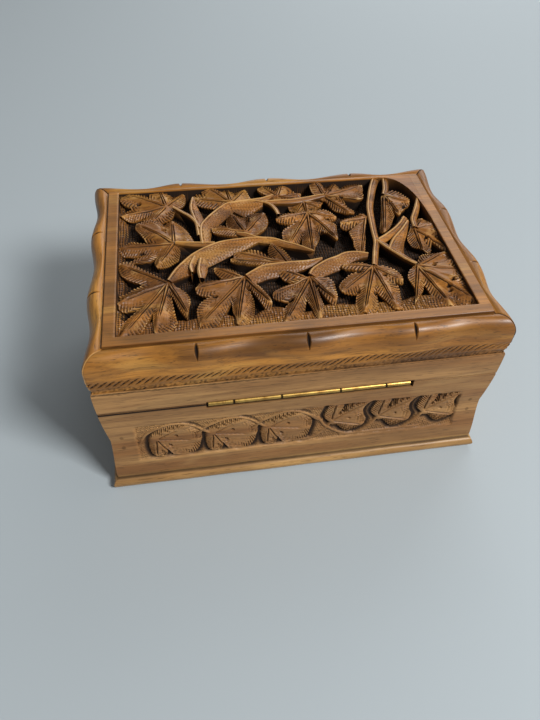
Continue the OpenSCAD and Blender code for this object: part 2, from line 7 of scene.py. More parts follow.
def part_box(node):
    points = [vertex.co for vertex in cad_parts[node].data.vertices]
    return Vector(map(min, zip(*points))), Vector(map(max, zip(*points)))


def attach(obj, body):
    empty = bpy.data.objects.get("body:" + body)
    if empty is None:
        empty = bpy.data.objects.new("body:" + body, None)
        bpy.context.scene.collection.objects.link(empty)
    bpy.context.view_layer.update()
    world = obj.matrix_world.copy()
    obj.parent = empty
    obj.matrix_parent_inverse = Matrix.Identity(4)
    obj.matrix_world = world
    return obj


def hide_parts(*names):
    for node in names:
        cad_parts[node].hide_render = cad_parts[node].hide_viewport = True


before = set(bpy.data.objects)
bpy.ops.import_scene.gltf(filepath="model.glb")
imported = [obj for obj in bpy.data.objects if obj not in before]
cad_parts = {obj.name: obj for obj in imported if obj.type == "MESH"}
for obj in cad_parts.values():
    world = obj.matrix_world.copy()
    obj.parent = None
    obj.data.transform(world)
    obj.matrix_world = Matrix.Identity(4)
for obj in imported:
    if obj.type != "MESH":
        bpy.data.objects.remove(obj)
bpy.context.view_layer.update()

# Lengths below are in millimetres, in the frame's own axes; meshes are written in metres.
mm = 0.001
detail = 1.0   # share of the full number of grid lines
weldWithin, flatWithin = 0.004, 0.001   # closer points are joined, thinner faces dropped
sharpFrom = 40   # degrees between two faces from which their edge is not smoothed
stepPair = np.array([-0.02, 0.02])   # the two grid lines between which a step falls


def nodeBox(name):
    # Lowest and highest corner of a node of the frame
    low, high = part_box(name)
    return np.array(low) / mm, np.array(high) / mm


halfLength, halfDepth, baseTop = nodeBox("bottom_board")[1]
panelLow, panelHigh = nodeBox("carved_panel")
wallTop = nodeBox("wall_front")[1][2]
railBase = nodeBox("lid_rail_front")[0][2]
railTop, panelTop = panelLow[2], panelHigh[2]
mouldingTall = nodeBox("moulding_front")[1][2] - railTop
mouldingWidth = halfLength - panelHigh[0]
wallInset = halfDepth - nodeBox("wall_front")[0][1]
pinLow, pinHigh = nodeBox("hinge_pin")
pinInset = halfDepth + (pinLow[1] + pinHigh[1]) / 2
partingZ = (wallTop + railBase) / 2


def smooth(low, high, x):
    # 0 below low, 1 above high, a cubic ease between them
    t = np.clip((x - low) / (high - low), 0, 1)
    return t * t * (3 - 2 * t)


def ripple(x, y, size):
    # Soft unevenness between -1 and 1: two crossed waves, each bent by a slower one
    a, b = x / size, y / size
    return 0.5 * (np.sin(1.7 * a + 1.6 * np.sin(0.83 * b + 1.1))
                  + np.sin(2.1 * b + 1.4 * np.sin(1.27 * a + 0.4)))


def grit(x, y, size):
    # Uneven roughness between -1 and 1: three ripples whose sizes share no beat
    return (ripple(x, y, size) + ripple(y + 5 * ripple(x, y, 9 * size), x, 0.61 * size)
            + ripple(x + 3 * y, y, 0.37 * size)) / 3


def comb(x):
    # A row of gouge cuts: 1 in the middle of each cut, 0 halfway between two
    return (0.5 + 0.5 * np.cos(2 * np.pi * x)) ** 1.5


def gridQuads(rows, cols, closeCols=False):
    # Quads between neighbouring grid lines; the last column joins the first where it closes
    i, j = np.meshgrid(np.arange(rows - 1), np.arange(cols if closeCols else cols - 1),
                       indexing="ij")
    k = (j + 1) % cols
    return np.stack([i * cols + j, (i + 1) * cols + j, (i + 1) * cols + k, i * cols + k],
                    -1).reshape(-1, 4)


def smoothPath(corners, spacing):
    # Catmull-Rom curve through the corners, resampled at an even spacing
    perCorner = 24
    p = np.array(corners, float)
    ends = np.vstack([2 * p[0] - p[1], p, 2 * p[-1] - p[-2]])
    t = np.linspace(0, 1, perCorner, endpoint=False)[None, :, None]
    a, b, c, d = (ends[k:len(ends) - 3 + k, None, :] for k in range(4))
    curve = 0.5 * (2 * b + (c - a) * t + (2 * a - 5 * b + 4 * c - d) * t ** 2
                   + (3 * b - a - 3 * c + d) * t ** 3)
    curve = np.vstack([curve.reshape(-1, 2), p[-1:]])
    run = np.concatenate([[0], np.cumsum(np.linalg.norm(np.diff(curve, axis=0), axis=1))])
    even = np.linspace(0, run[-1], max(4, int(run[-1] / spacing)))
    return np.stack([np.interp(even, run, curve[:, k]) for k in (0, 1)], -1)


def makePiece(name, parts, body, node, material):
    # parts is a list of (points, quads, recess): recess is painted shade, 1 in gaps and 0 on plain
    # faces, with some real marks such as old glue and filled nail holes; it goes down to -1 where
    # an edge is worn pale and painted as a highlight
    points = np.concatenate([p for p, q, r in parts])
    starts = np.cumsum([0] + [len(p) for p, q, r in parts[:-1]])
    quads = np.concatenate([q + s for (p, q, r), s in zip(parts, starts)])
    recess = np.concatenate([r for p, q, r in parts])
    mesh = bpy.data.meshes.new(name)
    mesh.vertices.add(len(points))
    mesh.vertices.foreach_set("co", (points * mm).astype(np.float32).ravel())
    mesh.loops.add(quads.size)
    mesh.loops.foreach_set("vertex_index", quads.astype(np.int32).ravel())
    mesh.polygons.add(len(quads))
    mesh.polygons.foreach_set("loop_start", np.arange(0, quads.size, 4, dtype=np.int32))
    layer = mesh.attributes.new("recess", "FLOAT", "POINT")
    layer.data.foreach_set("value", recess.astype(np.float32))
    mesh.update(calc_edges=True)
    work = bmesh.new()
    work.from_mesh(mesh)
    bmesh.ops.remove_doubles(work, verts=work.verts, dist=weldWithin * mm)
    bmesh.ops.dissolve_degenerate(work, edges=work.edges, dist=flatWithin * mm)
    rims = [e for e in work.edges if e.is_boundary]
    bmesh.ops.holes_fill(work, edges=rims, sides=0)
    bmesh.ops.recalc_face_normals(work, faces=work.faces)
    work.to_mesh(mesh)
    work.free()
    mesh.polygons.foreach_set("use_smooth", np.ones(len(mesh.polygons), bool))
    mesh.set_sharp_from_angle(angle=np.radians(sharpFrom))
    piece = bpy.data.objects.new(name, mesh)
    bpy.context.scene.collection.objects.link(piece)
    mesh.materials.append(material)
    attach(piece, body)
    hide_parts(node)


def linear(code):
    # sRGB hex to linear RGBA: each channel through the sRGB curve
    c = np.array([int(code[k:k + 2], 16) for k in (1, 3, 5)]) / 255
    return [*np.where(c <= 0.04045, c / 12.92, ((c + 0.055) / 1.055) ** 2.4), 1]


def addNode(tree, kind, inputs=None, **settings):
    # A node with its settings; each input is a value or another node's output to link
    node = tree.nodes.new(kind)
    for key, value in settings.items():
        setattr(node, key, value)
    for key, value in (inputs or {}).items():
        if isinstance(value, bpy.types.NodeSocket):
            tree.links.new(value, node.inputs[key])
        else:
            node.inputs[key].default_value = value
    return node


def newMaterial(name):
    material = bpy.data.materials.new(name)
    material.use_nodes = True
    material.node_tree.nodes.clear()
    return material, material.node_tree


# Wood patterns: size across the grain, how much slower they run along it, and the noise's
# detail, roughness and distortion
woodPatterns = {
    "rings": (11.0, 0.055, 3.0, 0.5, 0.6),   # growth bands
    "figure": (26.0, 0.3, 2.0, 0.5, 1.2),    # dark and pale patches
    "fibre": (1.1, 0.035, 4.0, 0.7, 0.0),
    "pores": (0.45, 0.06, 1.0, 0.5, 0.0),
    "stain": (9.0, 1.0, 4.0, 0.5, 0.0),      # unevenness of the old polish
}
# Colours laid over the middle tone one after another: the pattern, the values between which
# it fades in, its strength and its colour; figureShare is the tone's own strength
woodLayers = [
    ("rings", 0.36, 0.66, 1.0, "pale"),
    ("bands", 0.15, 0.95, 0.30, "dark"),
    ("figure", 0.53, 0.70, "figureShare", "dark"),
    ("figure", 0.46, 0.32, "figureShare", "glow"),
    ("fibre", 0.42, 0.68, 0.40, "dark"),
    ("pores", 0.62, 0.72, 0.55, "gap"),
    # pale where the recess is below 0: wear and painted highlight on edges
    ("cut", -0.05, -1.0, 0.75, "wearAndHighlight"),
    # painted shade in cuts and gaps, by the recess with the old polish's unevenness
    ("depth", 0.06, 0.95, 1.0, "gap"),
]
woodLook = {
    "bandsPerRing": 9.0, "stainReach": 0.16, "cutRough": 0.4, "coatEnds": (0.05, 0.8),
    "fibreRidge": 0.5, "poreEnds": (0.62, 0.72), "porePit": -0.8, "bump": 0.05,
}
# gap: the dark of pores and of the painted shade in cuts; wearAndHighlight: the pale of worn edges
# and of painted highlights
oiledTones = {"pale": "#b08350", "middle": "#8c5f34", "dark": "#5d3e23", "gap": "#25160a",
              "glow": "#c39a62", "wearAndHighlight": "#cfa878", "figureShare": 0.25, "rough": 0.50,
              "coat": 0.05}
polishedTones = {"pale": "#a96e2c", "middle": "#7d4e1e", "dark": "#482a11", "gap": "#1f1208",
                 "glow": "#b9863f", "wearAndHighlight": "#d0a467", "figureShare": 0.60, "rough": 0.40,
                 "coat": 0.15}
mouldingTones = {**polishedTones, "figureShare": 0.75, "pale": "#b97d34",
                 "middle": "#8f5c23", "dark": "#4e2f13"}
sapTones = {"pale": "#ba8f56", "middle": "#946a39", "dark": "#6b4a2a", "gap": "#2c1b0c",
            "glow": "#cfa468", "wearAndHighlight": "#dcb67f", "figureShare": 0.30, "rough": 0.42,
            "coat": 0.15}


def makeWalnut(name, along, tones):
    # Sawn walnut, oiled and rubbed: bands and pores run along the grain's axis, the cuts are
    # painted dark as shade, with the old polish's unevenness, and edges are pale from handling and
    # painted highlight
    material, tree = newMaterial(name)
    w = woodLook
    place = addNode(tree, "ShaderNodeTexCoord").outputs["Object"]
    cut = addNode(tree, "ShaderNodeAttribute", attribute_name="recess").outputs["Fac"]
    fields = {"cut": cut}
    for pattern, (size, slower, fineness, roughness, bend) in woodPatterns.items():
        scale = [1 / (size * mm)] * 3
        scale["XYZ".index(along)] *= slower
        stretched = addNode(tree, "ShaderNodeMapping", {"Vector": place, "Scale": scale})
        fields[pattern] = addNode(tree, "ShaderNodeTexNoise", {
            "Vector": stretched.outputs[0], "Scale": 1.0, "Detail": fineness,
            "Roughness": roughness, "Distortion": bend}).outputs[0]
    many = addNode(tree, "ShaderNodeMath", {0: fields["rings"], 1: w["bandsPerRing"]},
                   operation="MULTIPLY")
    fields["bands"] = addNode(tree, "ShaderNodeMath", {0: many.outputs[0], 1: 1.0},
                              operation="PINGPONG").outputs[0]
    uneven = addNode(tree, "ShaderNodeMath", {
        0: fields["stain"], 1: w["stainReach"], 2: -w["stainReach"] / 2},
        operation="MULTIPLY_ADD")
    depth = addNode(tree, "ShaderNodeMath", {0: cut, 1: uneven.outputs[0]}, operation="ADD",
                    use_clamp=True).outputs[0]
    fields["depth"] = depth
    colour = linear(tones["middle"])
    for pattern, low, high, share, shade in woodLayers:
        amount = addNode(tree, "ShaderNodeMapRange", {
            0: fields[pattern], 1: low, 2: high, 4: tones.get(share, share)},
            interpolation_type="SMOOTHSTEP")
        colour = addNode(tree, "ShaderNodeMix", {
            0: amount.outputs[0], 6: colour, 7: linear(tones[shade])},
            data_type="RGBA").outputs[2]
    rough = addNode(tree, "ShaderNodeMath", {0: depth, 1: w["cutRough"], 2: tones["rough"]},
                    operation="MULTIPLY_ADD")
    coat = addNode(tree, "ShaderNodeMapRange", {
        0: depth, 1: w["coatEnds"][0], 2: w["coatEnds"][1], 3: tones["coat"], 4: 0.0},
        interpolation_type="SMOOTHSTEP")
    pits = addNode(tree, "ShaderNodeMapRange", {
        0: fields["pores"], 1: w["poreEnds"][0], 2: w["poreEnds"][1], 4: w["porePit"]},
        interpolation_type="SMOOTHSTEP")
    height = addNode(tree, "ShaderNodeMath", {
        0: fields["fibre"], 1: w["fibreRidge"], 2: pits.outputs[0]}, operation="MULTIPLY_ADD")
    bump = addNode(tree, "ShaderNodeBump", {
        "Height": height.outputs[0], "Strength": 0.5, "Distance": w["bump"] * mm})
    shader = addNode(tree, "ShaderNodeBsdfPrincipled", {
        "Base Color": colour, "Roughness": rough.outputs[0], "Normal": bump.outputs[0],
        "IOR": 1.5, "Specular IOR Level": 0.3, "Coat Weight": coat.outputs[0],
        "Coat Roughness": 0.25})
    addNode(tree, "ShaderNodeOutputMaterial", {"Surface": shader.outputs[0]})
    return material


brassLook = {
    # joint: the painted shade in the gaps between the knuckles
    "bright": "#cda75c", "dull": "#a67d42", "joint": "#2a1d10",
    "grainAlong": 0.385, "grainAcross": 3.33, "blotch": 3.85, "rough": (0.30, 0.48),
    "bump": 0.02,
    "joints": (12.5, 36.0, 65.6, 89.1), "jointHalf": 0.35,   # from the end of the pin
}


def makeBrass(name):
    # Rolled brass strip, handled and dulled: grain across the strip, tarnish in blotches, and
    # painted shade in the joints between the knuckles, by the distance along the hinge
    material, tree = newMaterial(name)
    b = brassLook
    place = addNode(tree, "ShaderNodeTexCoord").outputs["Object"]
    stretched = addNode(tree, "ShaderNodeMapping", {"Vector": place, "Scale": [
        1 / (b[run] * mm) for run in ("grainAlong", "grainAcross", "grainAcross")]})
    grain = addNode(tree, "ShaderNodeTexNoise", {
        "Vector": stretched.outputs[0], "Scale": 1.0, "Detail": 3.0}).outputs[0]
    blotch = addNode(tree, "ShaderNodeTexNoise", {
        "Vector": place, "Scale": 1 / (b["blotch"] * mm), "Detail": 5.0}).outputs[0]
    along = addNode(tree, "ShaderNodeSeparateXYZ", {0: place}).outputs[0]
    away = 1.0
    for joint in b["joints"]:
        offset = addNode(tree, "ShaderNodeMath", {0: along, 1: (pinLow[0] + joint) * mm},
                         operation="SUBTRACT")
        distance = addNode(tree, "ShaderNodeMath", {0: offset.outputs[0]},
                           operation="ABSOLUTE")
        away = addNode(tree, "ShaderNodeMath", {0: away, 1: distance.outputs[0]},
                       operation="MINIMUM").outputs[0]
    # tarnish in blotches, then painted shade at the knuckles' joints
    colour, half = linear(b["bright"]), b["jointHalf"] * mm
    for field, low, high, shade in ((blotch, 0.4, 0.65, "dull"), (away, 2 * half, half, "joint")):
        amount = addNode(tree, "ShaderNodeMapRange", {0: field, 1: low, 2: high})
        colour = addNode(tree, "ShaderNodeMix", {
            0: amount.outputs[0], 6: colour, 7: linear(b[shade])}, data_type="RGBA").outputs[2]
    rough = addNode(tree, "ShaderNodeMapRange", {
        0: grain, 1: 0.3, 2: 0.7, 3: b["rough"][0], 4: b["rough"][1]})
    bump = addNode(tree, "ShaderNodeBump", {
        "Height": grain, "Strength": 0.4, "Distance": b["bump"] * mm})
    shader = addNode(tree, "ShaderNodeBsdfPrincipled", {
        "Base Color": colour, "Metallic": 1.0, "Roughness": rough.outputs[0],
        "Normal": bump.outputs[0]})
    addNode(tree, "ShaderNodeOutputMaterial", {"Surface": shader.outputs[0]})
    return material


ironLook = {"bare": "#3b3733", "rust": "#5a3621", "rustSize": 1.11, "bump": 0.03}


def makeIron(name):
    # Drawn iron nail, blackened, with a little brown rust
    material, tree = newMaterial(name)
    place = addNode(tree, "ShaderNodeTexCoord").outputs["Object"]
    rust = addNode(tree, "ShaderNodeTexNoise", {
        "Vector": place, "Scale": 1 / (ironLook["rustSize"] * mm), "Detail": 4.0}).outputs[0]
    share = addNode(tree, "ShaderNodeMapRange", {0: rust, 1: 0.45, 2: 0.7})
    colour = addNode(tree, "ShaderNodeMix", {
        0: share.outputs[0], 6: linear(ironLook["bare"]), 7: linear(ironLook["rust"])},
        data_type="RGBA")
    bump = addNode(tree, "ShaderNodeBump", {
        "Height": rust, "Strength": 0.5, "Distance": ironLook["bump"] * mm})
    shader = addNode(tree, "ShaderNodeBsdfPrincipled", {
        "Base Color": colour.outputs[2], "Metallic": 0.8, "Roughness": 0.55,
        "Normal": bump.outputs[0]})
    addNode(tree, "ShaderNodeOutputMaterial", {"Surface": shader.outputs[0]})
    return material


walnutPanel = makeWalnut("carvedWalnut", "X", polishedTones)
walnutBoard = makeWalnut("sapwoodBoard", "X", sapTones)
# on the long and on the short sides the grain follows the side
oiledWalnut = (makeWalnut("oiledWalnutLong", "X", oiledTones),
               makeWalnut("oiledWalnutShort", "Y", oiledTones))
mouldingWalnut = (makeWalnut("polishedMouldingLong", "X", mouldingTones),
                  makeWalnut("polishedMouldingShort", "Y", mouldingTones))
brassMetal = makeBrass("rolledBrass")
ironMetal = makeIron("blackIron")
print("materials made")


sideShape = {
    "shoulderInset": 0.9, "neckInset": 3.7, "neckHeight": 29.5, "power": 1.8,
    "baseRound": 2.6, "bevel": 0.3, "mitreRun": 3.0,
}
friezeShape = {
    "base": 10.2, "height": 29.6, "rise": 1.08, "end": 15.5, "depth": 2.3,
    "loopPitch": 29.0, "fanPitch": 25.5, "loopStart": 10.5, "fanStart": 19.0,
    "loopRise": 0.3, "fanRise": -0.4, "gridStep": 0.42,
    # half of the stretch that a leaf and a stem can reach, along and up
    "leafSpan": (30, 20), "stemSpan": (36, 18),
    # the vine from the last loop to the first fan, from the middle of each, and on along
    "vineWidth": 2.3, "vineOut": ((20, 7.7), (26, 3.5)),
    "vineIn": ((-4, -2.5), (1, -7), (6, -10), (14, -11.5)), "vineLow": -11.5,
    # ground: sunk beside the leaves, raised and hatched away from them
    "rimRun": 1.4, "rimWobble": 0.35, "groundLow": 0.22, "groundRise": 0.44,
    "riseRun": (0.8, 3.2), "hatchPitch": (1.2, 1.5), "hatchDepth": 0.3, "groundWave": 0.06,
    # recess, as painted shade: of the sunk ground, how much less where it rises, and more in the
    # hatching; of the leaves' sides; of a stem's sides, and the pale of wear and painted highlight
    # on its top
    "sunkShade": 0.66, "riseShade": -0.5, "hatchShade": 0.45, "sideShade": 0.25,
    "stemShade": (0.6, -0.5),
}
# Cuts of a leaf: distance between two gouge cuts, their slant and reach from the margin; the
# knife lines' distance from the vein's middle and half-width
friezeCuts = {"marginStep": 0.4, "pitch": 1.25, "slant": 0.9, "reach": 5.0, "gap": 0.0,
              "half": 0.34, "veinDepth": 0.5, "cutDepth": 0.42, "rimDrop": 0.16, "rimRun": 2.5,
              "scoop": 0.10, "scoopWidth": 6, "holeEdge": (0.9, 0.45), "holeStretch": 1.2,
              "holeDepth": 0.9, "topWearAndHighlight": 0.35}
# How every leaf's cuts fade: towards the vein's end and start as shares or millimetres, beside
# it and from the point where the veins meet; and by how much pitch and reach differ by vein
cutFade = {
    "gapNarrows": 0.55, "veinEnd": (1.0, 0.86), "veinStart": (0.4, 1.6), "bend": 0.04,
    "sharpness": 1.3, "besideVein": (0.7, 1.6), "fromMiddle": (2, 5),
    "pitchSpread": 0.14, "reachSpread": 0.35,
}
# Carved leaves: ends of the veins, drilled holes, margin anticlockwise; (0, 0) is where the
# veins meet
loopLeaf = ([(11, 5.5), (18, -3), (6, -12), (-1, -12)], [(6.5, -5), (10, 1.5)],
            [(23, -3), (23, 2), (20.5, 6.5), (16.5, 9.5), (11.5, 10.3), (5.5, 9), (0.5, 6),
             (-3, 2.5), (-4.3, -2), (-4.3, -7), (-3, -11.5), (1, -13.2), (4, -12.8), (5, -8),
             (6.5, -12.8), (12, -13.3), (17, -13), (21, -10)])
fanLeaf = ([(1.5, 14.5), (18, 12), (17, -5)], [(5.8, 6.7), (9.3, 1), (-0.7, -3.4)],
           [(19.5, -2), (17.7, 1.5), (17, 6), (18.6, 11), (21, 14.5), (15, 14.5), (8.2, 14.3),
            (6, 7), (5.4, 14.3), (-1, 14.5), (-3.4, 9), (-4.4, 4), (-3, 1), (-1.2, -1),
            (0, -3.5), (3.5, -4.2), (6, -7.8), (10, -9.2), (15, -7.8), (18.5, -4.8)])
loopStem = [(-9, -2.5), (-5, 4.5), (1, 8.7), (7, 11.3), (14, 11), (20, 7.7), (24, 3.5),
            (28, 0.5)]
fanStem = [(-20, -11), (-11, -10.8), (-5, -7), (0, -1)]
# Each side: its turn from +Y in quarters, half its length, and how far out it stands
sides = {"front": (0, halfLength, halfDepth), "left": (1, halfDepth, halfLength),
         "back": (2, halfLength, halfDepth), "right": (3, halfDepth, halfLength)}


def sideInset(z):
    # A power curve from the shoulder down to the neck, then a half wave out to the base
    s = sideShape
    neckZ = baseTop + s["neckHeight"]
    t = np.clip((railTop - z) / (railTop - neckZ), 0, 1)
    upper = s["shoulderInset"] + (s["neckInset"] - s["shoulderInset"]) * t ** s["power"]
    wave = (1 - np.cos(np.pi * (neckZ - z) / s["neckHeight"])) / 2
    return np.where(z >= neckZ, upper,
                    s["neckInset"] - (s["neckInset"] - s["baseRound"]) * wave)


def turned(points, quarter):
    # Quarter turns about Z: the new x is minus the old y, the new y the old x
    for _ in range(quarter):
        points = np.stack([-points[..., 1], points[..., 0], points[..., 2]], -1)
    return points


def mitred(u, inset, half, straight):
    # Beyond the straight part the stations close up, so the ends meet at 45 degrees
    beyond = np.clip(np.abs(u) - straight, 0, None)
    return np.sign(u) * (np.minimum(np.abs(u), straight)
                         + beyond * (half - inset - straight) / (half - straight))


def stationsAlong(half, spacing, breaks=()):
    # Evenly spaced stations, with a close pair at each place where the shape steps
    even = np.linspace(-half, half, int(2 * half / spacing))
    pairs = [b + e for b in breaks for e in stepPair]
    return np.sort(np.concatenate([even, pairs]))


def sectionGrid(stations, insets, heights):
    # The closed section repeated at every station: one row for each
    u, inset = np.meshgrid(stations, insets, indexing="ij")
    return u, inset, np.broadcast_to(heights, u.shape).copy()


def addSide(name, side, grids, straight, body, node, woods):
    # Stations, insets and heights become points, mitred at the ends and turned to their side
    quarter, half, reach = sides[side]
    u, inset, z, recess = grids
    points = np.stack([mitred(u, inset, half, straight), reach - inset, z], -1)
    makePiece(name, [(turned(points, quarter).reshape(-1, 3),
                      gridQuads(*u.shape, closeCols=True), recess.ravel())],
              body, node, woods[quarter % 2])


def leafMargin(margin, spacing):
    # Closed smooth line through the margin, as radii and as angles that never turn back: the
    # mean of the greatest angle so far and the least angle still to come
    line = smoothPath(np.vstack([margin, margin[:1]]), spacing)[:-1]
    angle = np.unwrap(np.arctan2(line[:, 1], line[:, 0]))
    turn = (np.maximum.accumulate(angle) + np.minimum.accumulate(angle[::-1])[::-1]) / 2
    return turn, np.hypot(line[:, 0], line[:, 1])


def fromLine(x, y, line):
    # Distance of every point to the nearest point of a line, one row of points at a time
    return np.stack([np.hypot(a[:, None] - line[:, 0], b[:, None] - line[:, 1]).min(-1)
                     for a, b in zip(x, y)])


def nearestVein(theta, heading):
    # Which vein is nearest by angle, and all the angles to the veins, between -pi and pi
    away = (theta[..., None] - heading + np.pi) % (2 * np.pi) - np.pi
    return np.abs(away).argmin(-1), away


def leafCuts(r, theta, tips, fromRim, look):
    # Depth shares of the knife lines beside the veins and of the slanting gouge cuts that
    # run in from the margin, the distance from the nearest vein, and the cuts' own comb; each
    # vein has its own pitch and reach
    heading, length = np.arctan2(tips[:, 1], tips[:, 0]), np.hypot(tips[:, 0], tips[:, 1])
    vein, away = nearestVein(theta, heading)
    away = np.take_along_axis(away, vein[..., None], -1)[..., 0]
    along, beside = r * np.cos(away), np.abs(r * np.sin(away))
    q = along / length[vein]
    c = cutFade
    gap = look["gap"] * (1 - c["gapNarrows"] * np.clip(q, 0, 1))
    lines = (np.exp(-((beside - gap) / look["half"]) ** 2) * smooth(*c["veinEnd"], q)
             * smooth(*c["veinStart"], along))
    lean = look["slant"] * (beside - c["bend"] * beside ** 2)
    pitch = look["pitch"] * (1 + c["pitchSpread"] * np.sin(3.1 * vein + length[vein]))
    teeth = comb((along - lean) / pitch)
    reach = look["reach"] * (1 + c["reachSpread"] * np.sin(2.3 * vein + 0.11 * r * r))
    cuts = (teeth ** c["sharpness"] * smooth(reach, reach * 0.4, fromRim)
            * smooth(*c["besideVein"], beside) * smooth(*c["fromMiddle"], r))
    return lines, cuts, beside, teeth


def leafRelief(u, v, leaf):
    # Height from 0 (ground) to 1 (top), the painted shade of each point's cuts and holes (negative
    # where a plain top is painted pale as wear and highlight), and its distance inside the margin
    # (negative outside)
    tips, holes, margin = (np.array(part, float) for part in leaf)
    look = friezeCuts
    turn, radius = leafMargin(margin, look["marginStep"])
    r, theta = np.hypot(u, v), np.arctan2(v, u)
    rim = np.stack([radius * np.cos(turn), radius * np.sin(turn)], -1)
    inside = np.sign(np.interp(theta, turn, radius, period=2 * np.pi) - r) * fromLine(u, v, rim)
    lines, cuts, beside, _ = leafCuts(r, theta, tips, np.maximum(inside, 0), look)
    edge = smooth(-0.1, 0.5, inside)
    hole = np.zeros_like(u)
    for a, b in holes:
        hole = np.maximum(hole, smooth(*look["holeEdge"],
                                       np.hypot((u - a) / look["holeStretch"], v - b)))
    height = edge * (1 - look["rimDrop"] * smooth(look["rimRun"], 0, inside)
                     - look["scoop"] * np.sin(np.pi * np.clip(beside / look["scoopWidth"], 0, 1))
                     - look["veinDepth"] * lines - look["cutDepth"] * cuts
                     - look["holeDepth"] * hole)
    # painted shade in the knife lines, cuts and holes; plain tops painted pale as wear and
    # highlight
    shaded = np.clip(0.95 * lines + 0.85 * cuts + hole, 0, 1)
    return height, edge * (shaded - look["topWearAndHighlight"] * (1 - shaded)), inside


def stemRelief(u, v, path, width):
    # Round-topped strip: height by the distance to the nearest point of its middle line
    line = smoothPath(path, 0.7)
    du, dv = u[..., None] - line[:, 0], v[..., None] - line[:, 1]
    away = np.sqrt((du * du + dv * dv).min(-1)) / (width / 2)
    return np.sqrt(np.clip(1 - away ** 2, 0, 1))


def friezeRelief(u, z, half):
    # Depth below the wall's face and recess as painted shade, from the sunk ground and what stands
    # on it: loops with leaves from one end, fans from the other, and the vine that joins them
    f = friezeShape
    run = 2 * (half - f["end"])
    v = (z - (baseTop + f["base"] + f["height"] / 2)) / f["rise"]
    count = max(1, round((run - f["loopStart"] - f["fanStart"])
                         / (f["loopPitch"] + f["fanPitch"])))
    lastFan = run / 2 - f["fanStart"]
    firstFan = lastFan - (count - 1) * f["fanPitch"]
    firstLoop = f["loopStart"] - run / 2
    lastLoop = firstLoop + (count - 1) * f["loopPitch"]
    vine = ([(lastLoop + a, b) for a, b in f["vineOut"]]
            + [(firstFan + a, b) for a, b in f["vineIn"]] + [(lastFan - 1, f["vineLow"])])
    leaves = []
    for k in range(count):
        leaves += [(loopLeaf, loopStem, firstLoop + k * f["loopPitch"], f["loopRise"]),
                   (fanLeaf, fanStem, lastFan - k * f["fanPitch"], f["fanRise"])]
    height, cut, close = np.zeros_like(u), np.zeros_like(u), np.full_like(u, -9.0)
    for leaf, _, u0, v0 in leaves:
        near = (np.abs(u - u0) < f["leafSpan"][0]) & (np.abs(v - v0) < f["leafSpan"][1])
        patch = np.ix_(np.flatnonzero(near.any(1)), np.flatnonzero(near.any(0)))
        h, c, n = leafRelief(u[patch] - u0, v[patch] - v0, leaf)
        close[patch] = np.maximum(close[patch], n)
        cut[patch] = np.where(h > height[patch], c, cut[patch])
        height[patch] = np.maximum(height[patch], h)
    # stems: painted shade down their sides, pale along their tops as wear and painted highlight
    for path, u0, v0 in [(vine, 0, 0)] + [(stem, a, b) for _, stem, a, b in leaves]:
        near = ((np.abs(u - u0) < f["stemSpan"][0]) & (np.abs(v - v0) < f["stemSpan"][1])
                | (path is vine))
        h = stemRelief(u[near] - u0, v[near] - v0, path, f["vineWidth"])
        shade = f["stemShade"][0] * (h < 0.75) + f["stemShade"][1] * (h > 0.9)
        cut[near] = np.where(h > height[near], shade, cut[near])
        height[near] = np.maximum(height[near], h)
    wobble = f["rimWobble"] * ripple(u, v, 2.3)
    inside = (smooth(0, f["rimRun"], run / 2 - np.abs(u) + wobble)
              * smooth(0, f["rimRun"], f["height"] / f["rise"] / 2 - np.abs(v) + wobble))
    away = smooth(*f["riseRun"], -close)
    hatch = comb((u + 0.5 * v) / f["hatchPitch"][0]) * comb((v - 0.2 * u) / f["hatchPitch"][1])
    ground = (f["groundLow"] + away * (f["groundRise"] - f["hatchDepth"] * hatch)
              + f["groundWave"] * ripple(u, v, 0.6))
    # painted shade in the sunk ground and the hatching, less where the ground rises, and beside
    # the leaves
    low = np.clip(f["sunkShade"] + (f["riseShade"] + f["hatchShade"] * hatch) * away, 0, 1)
    edges = f["sideShade"] * inside * smooth(0.75, 0.4, height) * (1 - away)
    recess = np.clip(inside * np.where(height > ground, cut, low) + edges, -1, 1)
    depth = inside * f["depth"] * np.clip(1 - np.maximum(height, ground), 0, 1)
    return depth, recess


hingeShape = {
    "notchBelow": 3.6, "notchPast": (2.2, 1.0), "barrelRadius": 1.5, "leafDepth": 1.0,
    "leafReach": 8.15, "leafPast": 0.15, "bevelRun": 0.3, "bevelHeight": 0.36,
}
# The hinge along the back's own length, which runs the other way from +X once it is turned
hingeMiddle = -(pinLow[0] + pinHigh[0]) / 2
hingeHalf = (pinHigh[0] - pinLow[0]) / 2
leafHalf = hingeHalf + hingeShape["leafPast"]
leafEdge = pinInset + hingeShape["leafReach"]
notchEnds = (hingeMiddle - hingeHalf - hingeShape["notchPast"][0],
             hingeMiddle + hingeHalf + hingeShape["notchPast"][1])
hingeBreaks = [*notchEnds, hingeMiddle - leafHalf, hingeMiddle + leafHalf]


seamLook = {"weak": 0.35, "from": -0.1, "to": 0.3}   # places as shares of half the length


def seamShade(away, reach, along):
    # Painted shade in the line where the lid meets the walls, by the distance from it, stronger
    # towards one end
    s = seamLook
    return smooth(*reach, away) * (s["weak"] + (1 - s["weak"]) * smooth(s["from"], s["to"], along))


wallShape = {
    "toolMarks": 0.06, "toolMarkSize": 7, "seamReach": (1.7, 0.7),
    "footShade": 0.15, "footRun": (0.5, 0.1),
    "nailFromMiddle": 93.95, "nailHeights": (32.0, 40.0), "nailSpot": (1.9, 1.0),
    "nailShade": 0.45,
}


